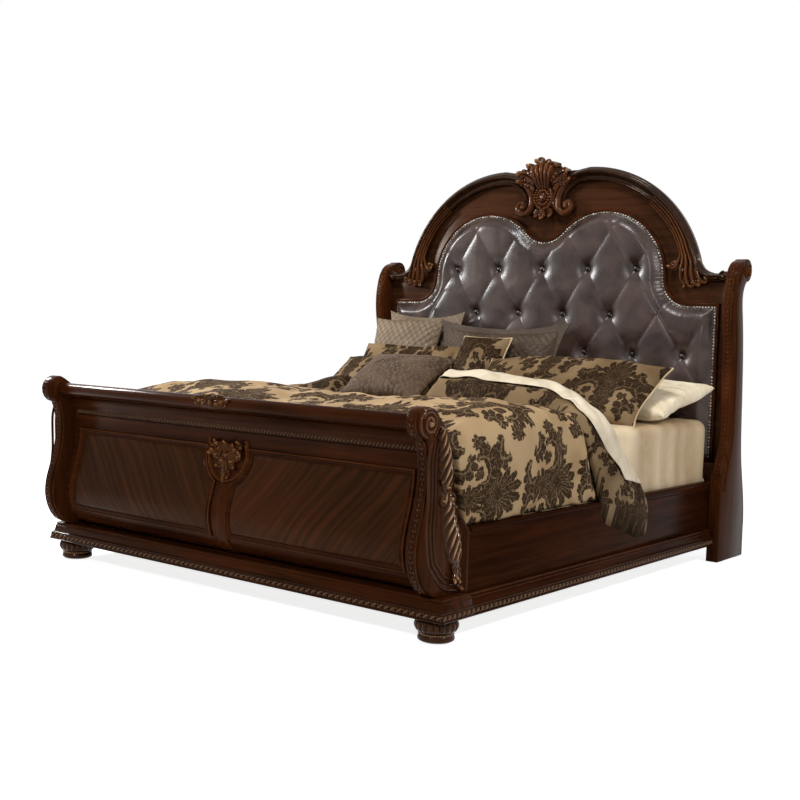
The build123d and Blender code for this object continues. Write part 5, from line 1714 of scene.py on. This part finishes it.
def soft_block(name, node, finish, corner, edge, waves, seed, skirt=0.0):
    """A mattress or box spring: rounded edges, a flat top and a cover that ripples a little."""
    low, high = (array(*corner_point) for corner_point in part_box(node))
    places, outward = rings(low, high, corner, 0.03)
    turns = np.linspace(0, math.pi / 2, 6)
    levels = [(low[2], edge * 0.4), (low[2] + edge * 0.25, edge * 0.1), (low[2] + edge * 0.6, 0)]
    if skirt:
        levels = [(low[2] - skirt, -0.002), (low[2], -0.002), (low[2] + edge * 0.6, 0)]
    levels += [(height, 0.0) for height in np.linspace(low[2] + edge, high[2] - edge, 8)]
    levels += [(high[2] - edge * (1 - math.sin(turn)), edge * (1 - math.cos(turn))) for turn in turns[1:]]
    rows = []
    gone = np.arange(len(places)) * 0.03
    for height, inset in levels:
        share = (height - low[2]) / (high[2] - low[2])
        ripple = waves * math.sin(math.pi * share) * (
            np.sin(gone * 31 + seed) * 0.5 + np.sin(gone * 13.7 + seed * 2) * 0.5 - 0.6
        )
        ring = places - outward * (inset - ripple)[:, None] if waves else places - outward * inset
        rows.append(np.column_stack([ring, np.full(len(ring), height)]))
    middle = (low + high) / 2
    for shrink in np.linspace(1, 0.02, 26)[1:]:
        ring = middle[:2] + (rows[len(levels) - 1][:, :2] - middle[:2]) * shrink
        rows.append(np.column_stack([ring, np.full(len(ring), high[2])]))
    shape = Shape()
    shape.grid(np.array(rows), closed=(False, True), caps=True)
    block = shape.make(name, finish, takes=(node,), sharp=60)


def pillow_frame(node, thick):
    """Middle, half width, half length and the directions of a pillow, from its CAD slab."""
    low, high = (array(*corner_point) for corner_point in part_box(node))
    run = high[1:] - low[1:] - thick
    length = math.hypot(*run) + thick
    lean = array(0, *(run / math.hypot(*run)))
    return (low + high) / 2, (high[0] - low[0]) / 2, length / 2, lean, np.cross(X, lean)


def pillow(
    name, finish, thick, flange=0.0, pinch=0.05, quilt=0.0, seed=1.0, corner=0.55, sag=0.0, piping=None,
    seat=0.35, splay=0.0, ears=0.0
):
    """A stuffed cover: crowned, its sides drawn in between the corners, its seam all round.

    thick is the CAD slab's thickness, flange a flat border's width, pinch how far the sides draw in,
    quilt the depth of diamond stitching, corner how slack the corners are, sag how far its top edge
    slumps, seat how far its seam lies under the middle, splay how much narrower its foot is and ears
    how its corners point.
    """
    middle, half_width, half_length, lean, up = pillow_frame(name, thick)
    count = 150 if quilt else 90
    side = np.linspace(-1, 1, count)
    u, v = np.meshgrid(side, side, indexing="ij")
    u, v = np.sin(u * math.pi / 2) * 0.45 + u * 0.55, np.sin(v * math.pi / 2) * 0.45 + v * 0.55
    inner_u = np.clip(u * half_width / (half_width - flange), -1, 1)
    inner_v = np.clip(v * half_length / (half_length - flange), -1, 1)
    belly = (1 - np.abs(inner_u) ** 2.6) * (1 - np.abs(inner_v) ** 2.6)
    crown = np.clip(belly, 0, 1) ** corner
    draw_u = 1 - pinch * (1 - v**2) * np.abs(u) ** 3
    draw_v = 1 - pinch * 1.2 * (1 - u**2) * np.abs(v) ** 3
    draw_u = draw_u * (1 - splay * (1 - v) / 2) * (1 + ears * np.abs(u * v) ** 5)
    draw_v = draw_v * (1 + ears * np.abs(u * v) ** 5)
    across, up_along = half_width * u * draw_u, half_length * v * draw_v
    wrinkle = 0.0035 * np.sin(across * 34 + 4 * np.sin(up_along * 17 + seed)) * np.sin(
        up_along * 23 + seed * 2
    )
    radial = 0.004 * np.sin(np.arctan2(np.abs(v) - 1.02, np.abs(u) - 1.02) * 26 + seed) * np.abs(u * v) ** 2.5
    stitch = 0
    if quilt:
        first, second = (across + up_along) / 0.040, (across - up_along) / 0.040
        stitch = quilt * (np.abs(np.sin(math.pi * first)) * np.abs(np.sin(math.pi * second))) ** 0.45 - quilt
    half = thick / 2
    slump = sag * smooth_step(0.1, 1.0, v) * (1 - u**2)
    shape = Shape()
    wave = 0.004 * np.sin(across * 17 + seed * 3) * np.abs(v) ** 4 + 0.004 * np.sin(
        up_along * 19 + seed
    ) * np.abs(u) ** 4
    sheets = []
    for face in (1, -1):
        out = face * (
            half * (1 + face * seat) * crown + (wrinkle + radial) * crown**0.5 + stitch * crown**0.3 + 0.0022
        )
        place = (
            middle + across[..., None] * X + (up_along - slump)[..., None] * lean
            + (out + wave - half * seat)[..., None] * up
        )
        sheets.append(place)
        shape.grid(
            place, cloth=np.stack([across + seed * 0.37, up_along * face + seed * 0.21], axis=2),
            flip=face < 0
        )
    rim = [outer_points(place) for place in sheets]
    cloth = np.stack([outer_points(across), outer_points(up_along)], axis=1)
    shape.grid(np.stack(rim), cloth=np.stack([cloth + seed, cloth + seed + 0.004]), closed=(False, True))
    cover = shape.make(name + ".cover", finish, body=name, takes=(name,), sharp=75)
    weld(cover)
    if piping is not None:
        edge = (rim[0] + rim[1]) / 2
        edge = np.concatenate([edge, edge[:1]])
        cord = Shape()
        turns = np.arange(8) * math.tau / 8
        profile = 0.0042 * np.stack([np.cos(turns), np.sin(turns)], axis=1)
        cord.grid(sweep(edge, unit(np.cross(directions(edge), up)), up, profile)[:-1], closed=(True, True))
        cord.make(name + ".piping", piping, body=name)


def weld(piece):
    """Join the points where a piece's faces meet."""
    work = bmesh.new()
    work.from_mesh(piece.data)
    bmesh.ops.remove_doubles(work, verts=work.verts, dist=2e-5)
    bmesh.ops.recalc_face_normals(work, faces=work.faces)
    work.to_mesh(piece.data)
    work.free()


def two_faced(name, points, back, cloth, finish, takes):
    """A closed cloth piece from its seen face and its other one."""
    shape = Shape()
    shape.grid(points, cloth=cloth)
    shape.grid(back, cloth=cloth, flip=True)
    edge = outer_points(cloth)
    rims = np.stack([outer_points(points), outer_points(back)])
    shape.grid(rims, cloth=np.stack([edge, edge + 0.01]), closed=(False, True))
    piece = shape.make(name, finish, takes=takes, sharp=70)
    weld(piece)
    return piece


def thick_sheet(name, points, cloth, thick, finish, takes, into=None):
    """A sheet of cloth or a quilt: its seen face, and its other face a thickness behind."""
    across, down = np.gradient(points, axis=0), np.gradient(points, axis=1)
    normal = unit(np.cross(across, down))
    if normal[..., 2].sum() < 0:
        normal = -normal
    back = points - normal * thick
    if into is not None:
        back = into(back)
    return two_faced(name, points, back, cloth, finish, takes)


def bed_section(width, top, low, radius, count):
    """From the left hem over the bed to the right hem: places (x, z) and their outward turns."""
    half = width - radius
    line = np.concatenate([
        np.array([(-width, low), (-width, top - radius)]),
        arc((-half, top - radius), radius, 180, 90, 16),
        arc((half, top - radius), radius, 90, 0, 16),
        np.array([(width, low)]),
    ])
    gone = np.concatenate([[0], np.cumsum(np.linalg.norm(np.diff(line, axis=0), axis=1))])
    places = np.linspace(0, gone[-1], count)
    return np.stack([np.interp(places, gone, line[:, axis]) for axis in (0, 1)], axis=1), places - gone[
        -1
    ] / 2


def comforter_body():
    """The comforter spread over the mattress: soft hills, full rounded sides, hems on the rails."""
    rows = 160
    section, gone = bed_section(1.001, 0.72, 0.3775, 0.100, 270)
    x0, z0 = section[:, 0], section[:, 1]
    right = (x0 > 0) * 1.0
    side = smooth_step(0.905, 0.975, np.abs(x0))
    share = np.linspace(0, 1, rows)[:, None]
    behind_post = np.interp(z0, [0.30, 0.39, 0.50, 0.60, 0.72], [0.197, 0.166, 0.127, 0.114, 0.086])
    start = FOOT + 0.135 * (1 - side) + behind_post * side
    end = FOOT + 1.40 - right * smooth_step(0.70, 0.96, np.abs(x0)) * (
        0.27 - 0.06 * smooth_step(0.62, 0.40, z0)
    )
    y = start + (end - start) * share
    here = y - FOOT
    known = array(0.07, 0.10, 0.15, 0.22, 0.32, 0.45, 0.60, 0.78, 0.92, 1.06, 1.18, 1.42)
    heights = array(0.655, 0.682, 0.706, 0.722, 0.742, 0.757, 0.767, 0.760, 0.742, 0.716, 0.703, 0.700)
    fine = np.linspace(0.05, 1.45, 281)
    fine_top = np.convolve(
        np.pad(np.interp(fine, known, heights), 8, mode="edge"), np.ones(17) / 17, mode="valid"
    )
    top = np.interp(here, fine, fine_top)
    z = z0 + (top - 0.72) * smooth_step(0.378, 0.68, z0)
    edge = np.interp(
        z, [0.375, 0.39, 0.44, 0.525, 0.60, 0.69, 0.75], [0.44, 0.53, 0.67, 0.765, 0.775, 0.74, 0.72]
    )
    beyond = smooth_step(-0.02, 0.075, here - edge) * side * right
    swell = 0.004 * np.sin(here * 15 + 1.2 * np.sin(here * 5)) + 0.003 * np.sin(here * 33 + z * 24)
    tuck = 0.014 * smooth_step(0.43, 0.378, z) + 0.006 * smooth_step(0.62, 0.72, z)
    hill = 0.020 * side * right * hump(here, 0.36, 0.30) * hump(z, 0.56, 0.16)
    pleat = 0.007 * np.sin(here * 44 + z * 26 + 1.2 * np.sin(z * 17)) * beyond
    x = x0 - np.sign(x0) * side * (
        0.001 + tuck * (1 - beyond) + 0.023 * beyond + 0.004 - swell - pleat - hill * (1 - beyond)
    )
    x = np.clip(x, -1.004, 1.018)
    x = np.where(side > 0.5, np.sign(x0) * np.maximum(np.abs(x), 0.972 * smooth_step(0.70, 0.66, z)), x)
    roll = 0.009 * np.sin(x * 5.2 + here * 6.1 + 1.3 * np.sin(here * 4.3)) + 0.006 * np.sin(
        x * 11.3 - here * 9.7 + 2.0
    )
    roll += 0.004 * np.sin(x * 23 + here * 17 + 2 * np.sin(x * 7)) + 0.003 * np.sin(here * 39 - x * 13)
    low_left = -0.030 * smooth_step(-0.45, -0.98, x) * smooth_step(0.55, 0.2, here) * smooth_step(
        0.45, 0.60, z
    )
    z = z + (roll - 0.006) * (1 - side) + low_left
    points = np.stack([x, y, z], axis=2)
    cloth = np.stack([np.broadcast_to(gone + 0.05, y.shape), y * 1.02], axis=2)

    def keep_off(back):
        over = np.abs(back[..., 0]) < 0.94
        back[..., 2] = np.where(
            over, np.maximum(back[..., 2], np.minimum(MATTRESS_TOP + 0.002, points[..., 2] - 0.004)),
            back[..., 2]
        )
        outer = np.maximum(np.abs(back[..., 0]), np.minimum(0.968, np.abs(points[..., 0]) - 0.004))
        back[..., 0] = np.where(over, back[..., 0], np.sign(back[..., 0]) * outer)
        return back

    body = thick_sheet("comforter.spread", points, cloth, 0.03, DAMASK, ("comforter",), keep_off)


# the fold in section: places from its front hem to its rear one, and its height there
FOLD_Q = (0, 0.06, 0.14, 0.24, 0.34, 0.40, 0.52, 0.64, 0.78, 0.92, 1.0)
FOLD_HIGH = (0, 0.34, 0.62, 0.76, 0.78, 0.80, 0.93, 1.0, 0.97, 0.62, 0)


def folded_end(name, x_start, x_end, flap, seed, full=1.0, fans=True):
    """The comforter's head end turned back in a fat fold that runs off the side of the bed.

    flap is how low its end hangs and full scales its height. Where it fans, it narrows at the
    mattress edge and spreads below.
    """
    sign = 1 if x_end > 0 else -1
    reach = abs(x_end)
    radius = 0.085
    base = 0.694
    turn = arc((reach - radius, base - radius), radius, 90, 0, 14)
    line = np.concatenate([
        np.array([(x_start * sign, base)]), turn,
        np.array([(reach + 0.004, flap + 0.1), (reach + 0.006, flap)])
    ])
    line = along(line, 0.010)
    out = np.gradient(line, axis=0)
    out = unit(np.stack([-out[:, 1], out[:, 0]], axis=1))
    out = np.where(out[:, 1:] < -0.2, -out, out)
    gone = np.arange(len(line)) * 0.010
    down = smooth_step(base - 0.01, base - 0.16, line[:, 1])
    columns = 60
    q = np.linspace(0, 1, columns)
    profile = np.interp(q, FOLD_Q, FOLD_HIGH)
    profile = np.convolve(np.pad(profile, 1, mode="edge"), np.ones(3) / 3, mode="valid")
    profile[0] = profile[-1] = 0
    grid, cloth = [], []
    for number, (x, z) in enumerate(line):
        hang = down[number]
        turned = float(smooth_step(0.62, 0.97, x))
        if fans:
            y_low = 1.185 - 0.215 * turned + 0.125 * float(smooth_step(0.68, 0.34, z))
            y_high = 1.428 - 0.238 * turned + 0.320 * float(smooth_step(0.68, 0.30, z))
        else:
            y_low, y_high = 1.185 + 0.077 * hang, 1.428 + 0.107 * hang
        rise = float(
            np.interp(
                x, [0.0, 0.27, 0.46, 0.62, 0.75, 0.86, 0.93, 0.99, 1.0],
                [0.140, 0.158, 0.150, 0.126, 0.090, 0.058, 0.036, 0.020, 0.014]
            )
        ) * full
        rise *= 0.35 + 0.65 * float(smooth_step(0, 0.07, gone[number]))
        ripple = 0.007 * math.sin(gone[number] * 9 + seed) + 0.004 * math.sin(gone[number] * 23 + seed * 2)
        height = (rise + ripple * (1 - 0.7 * hang)) * profile + 0.003 * np.sin(
            q * 21 + gone[number] * 31
        ) * profile
        y = FOOT + y_low + (y_high - y_low) * q + 0.008 * math.sin(gone[number] * 12 + seed) * (1 - q) * (
            1 - hang
        )
        slant = hang * float(smooth_step(0.45, 0.0, z - flap)) * 0.112 * (1 - q) ** 1.2
        grid.append(
            np.stack([sign * (x + out[number, 0] * height), y, z + out[number, 1] * height + slant], axis=1)
        )
        cloth.append(
            np.stack([sign * gone[number] + seed + np.zeros(columns), (y - FOOT) * 1.3 + seed], axis=1)
        )
    points, cloth = np.array(grid), np.array(cloth)
    under = points.copy()
    offset = out * array(sign, 1)
    under[..., 0] = (line[:, 0] * sign - offset[:, 0] * 0.012)[:, None]
    under[..., 2] = np.minimum(
        points[..., 2] - 0.003,
        (line[:, 1] - offset[:, 1] * 0.012)[:, None] + (points[..., 2] - points[:, :1, 2]) * down[:, None]
    )
    # the fold takes the damask darkened as painted shade
    piece = two_faced(name, points, under, cloth, DAMASK_SHADED, ("comforter",))
    return points


def turned_sheet(over):
    """The flat sheet turned down over the fold, running off the bed's right side."""
    last_row = int(over.shape[0] * 0.885)
    rows = over[2:last_row]
    places = np.arange(len(rows)) * 0.010
    shoulder = hump(places, 0.93, 0.10)
    hang = smooth_step(0.98, 1.25, places)
    begin = 0.37 - 0.10 * shoulder + 0.17 * hang + 0.020 * np.sin(places * 13) + 0.012 * np.sin(
        places * 31 + 1
    )
    columns = 26
    strip = []
    for row, first in zip(rows, begin):
        at = np.linspace(first, 1.0, columns) * (row.shape[0] - 1)
        strip.append(
            np.stack([np.interp(at, np.arange(row.shape[0]), row[:, axis]) for axis in range(3)], axis=1)
        )
    strip = np.array(strip)
    run, cross = np.gradient(strip, axis=0), np.gradient(strip, axis=1)
    normal = unit(np.cross(cross, run))
    if normal[..., 2].sum() < 0:
        normal = -normal
    edge = np.linspace(1, 0.2, columns)[None] ** 2
    lift = 0.0045 + (
        0.004 + 0.003 * np.sin(places * 17)[:, None] + 0.002 * np.sin(places * 41)[:, None]
    ) * edge
    strip = strip + normal * np.maximum(lift, 0.0035)[..., None]
    slide = np.linspace(0, 0.14, columns)
    cloth = np.stack(np.meshgrid(places, slide, indexing="ij"), axis=2)
    piece = thick_sheet("flat_sheet.turned_down", strip, cloth, 0.002, CREAM, ("flat_sheet",))
    length, width = (
        round(float(np.linalg.norm(np.diff(strip, axis=axis), axis=2).sum(axis=axis).mean()), 3)
        for axis in (0, 1)
    )


soft_block("mattress.fitted_sheet", "mattress", CHAMPAGNE, 0.06, 0.045, 0.008, 1.0, skirt=0.018)
soft_block("box_spring.cover", "box_spring", TICKING, 0.025, 0.015, 0.0, 2.0)
comforter_body()
fold = folded_end("comforter.fold_right", 0.012, 1.0005, 0.262, 0.6)
folded_end("comforter.fold_left", -0.482, -1.0005, 0.40, 2.1, full=0.75, fans=False)
turned_sheet(fold)
pillow(
    "euro_sham_back", QUILTED, 0.070, flange=0.03, quilt=0.0065, seed=1.1, sag=0.012, splay=0.10, ears=0.05
)
pillow(
    "euro_sham_left", QUILTED, 0.080, flange=0.0, quilt=0.0065, seed=2.3, sag=-0.012, splay=0.06, ears=0.03
)
# the centre sham takes the quilted satin darkened as painted shade
pillow(
    "euro_sham_centre", QUILTED_SHADED, 0.080, flange=0.035, quilt=0.0065, seed=3.2, sag=0.022, splay=0.16,
    ears=0.05
)
pillow("sham_left", DAMASK_SHADED, 0.090, flange=0.03, seed=1.4)
pillow("pillow_left", DAMASK_SHADED, 0.110, seed=2.9)
pillow("accent_pillow", DAMASK_SHADED, 0.080, seed=0.7, piping=CHAMPAGNE)
pillow("throw_pillow", VELVET, 0.100, seed=1.9, pinch=0.07, ears=0.05)
pillow("pillow_right", PILLOWCASE, 0.110, seed=2.2, pinch=0.05, seat=0.1, corner=0.30, ears=0.03)
pillow(
    "sham_right", DAMASK_SHADED, 0.110, seed=3.6, pinch=0.03, seat=0.55, corner=0.5, sag=-0.030, ears=0.03,
    piping=CHAMPAGNE
)


# ---------------------------------------------------------------------- studio, finish
WORLD_STRENGTH, FLOOR_COLOUR, FLOOR_GLOW, FLOOR_REACH = 0.27, 0.8, 0.82, 14


def show_white(tree, plain, seen, output):
    """The seen shader to the eye and in gloss and glass; what lights the bed stays plain."""
    rays = tree.nodes.new("ShaderNodeLightPath")
    kinds = [Field(tree, rays.outputs[f"Is {kind} Ray"]) for kind in ("Camera", "Glossy", "Transmission")]
    choose = tree.nodes.new("ShaderNodeMixShader")
    for socket, value in zip(choose.inputs, (functools.reduce(Field.most, kinds).socket, plain, seen)):
        tree.links.new(value, socket)
    tree.links.new(choose.outputs[0], output)


def pale_world():
    world = bpy.data.worlds.new("studio")
    scene.world = world
    world.use_nodes = True
    tree = world.node_tree
    light, seen = tree.nodes["Background"], tree.nodes.new("ShaderNodeBackground")
    for node, strength in ((light, WORLD_STRENGTH), (seen, 1.0)):
        node.inputs["Color"].default_value = (1, 1, 1, 1)
        node.inputs["Strength"].default_value = strength
    show_white(tree, light.outputs[0], seen.outputs[0], tree.nodes["World Output"].inputs[0])


def pale_floor():
    mesh = bpy.data.meshes.new("floor")
    corners = [(x * FLOOR_REACH, y * FLOOR_REACH, 0) for x, y in ((-1, -1), (1, -1), (1, 1), (-1, 1))]
    mesh.from_pydata(corners, [], [(0, 1, 2, 3)])
    floor = bpy.data.objects.new("floor", mesh)
    scene.collection.objects.link(floor)
    material = bpy.data.materials.new("floor")
    material.use_nodes = True
    tree = material.node_tree
    shader = tree.nodes["Principled BSDF"]
    shader.inputs["Base Color"].default_value = (FLOOR_COLOUR, FLOOR_COLOUR, FLOOR_COLOUR, 1)
    shader.inputs["Roughness"].default_value = 0.9
    glow = tree.nodes.new("ShaderNodeEmission")
    glow.inputs["Strength"].default_value = FLOOR_GLOW
    total = tree.nodes.new("ShaderNodeAddShader")
    tree.links.new(shader.outputs[0], total.inputs[0])
    tree.links.new(glow.outputs[0], total.inputs[1])
    show_white(tree, shader.outputs[0], total.outputs[0], tree.nodes["Material Output"].inputs[0])
    mesh.materials.append(material)


def lamps():
    """Soft lamps: name, place, what it is aimed at, size and power."""
    for name, place, target, size, power in (
        ("window_left", (-3.6, -0.9, 2.3), (-0.2, 0.6, 0.8), 0.6, 160),
        ("soft_front", (0.9, -4.4, 2.7), (0.1, -0.6, 0.6), 0.24, 54),
        ("soft_right", (4.0, -0.6, 2.9), (0.4, 0.5, 0.7), 0.24, 68),
        ("overhead", (0.3, -0.6, 4.0), (0.0, 0.2, 0.6), 0.5, 56),
    ):
        data = bpy.data.lights.new(name, "AREA")
        data.shape, data.size, data.energy = "SQUARE", size, power
        lamp = bpy.data.objects.new(name, data)
        scene.collection.objects.link(lamp)
        aim = (Vector(target) - Vector(place)).to_track_quat("-Z", "Y")
        lamp.matrix_world = Matrix.Translation(place) @ aim.to_matrix().to_4x4()


camera()
pale_world()
pale_floor()
lamps()
scene.view_settings.view_transform = "Standard"
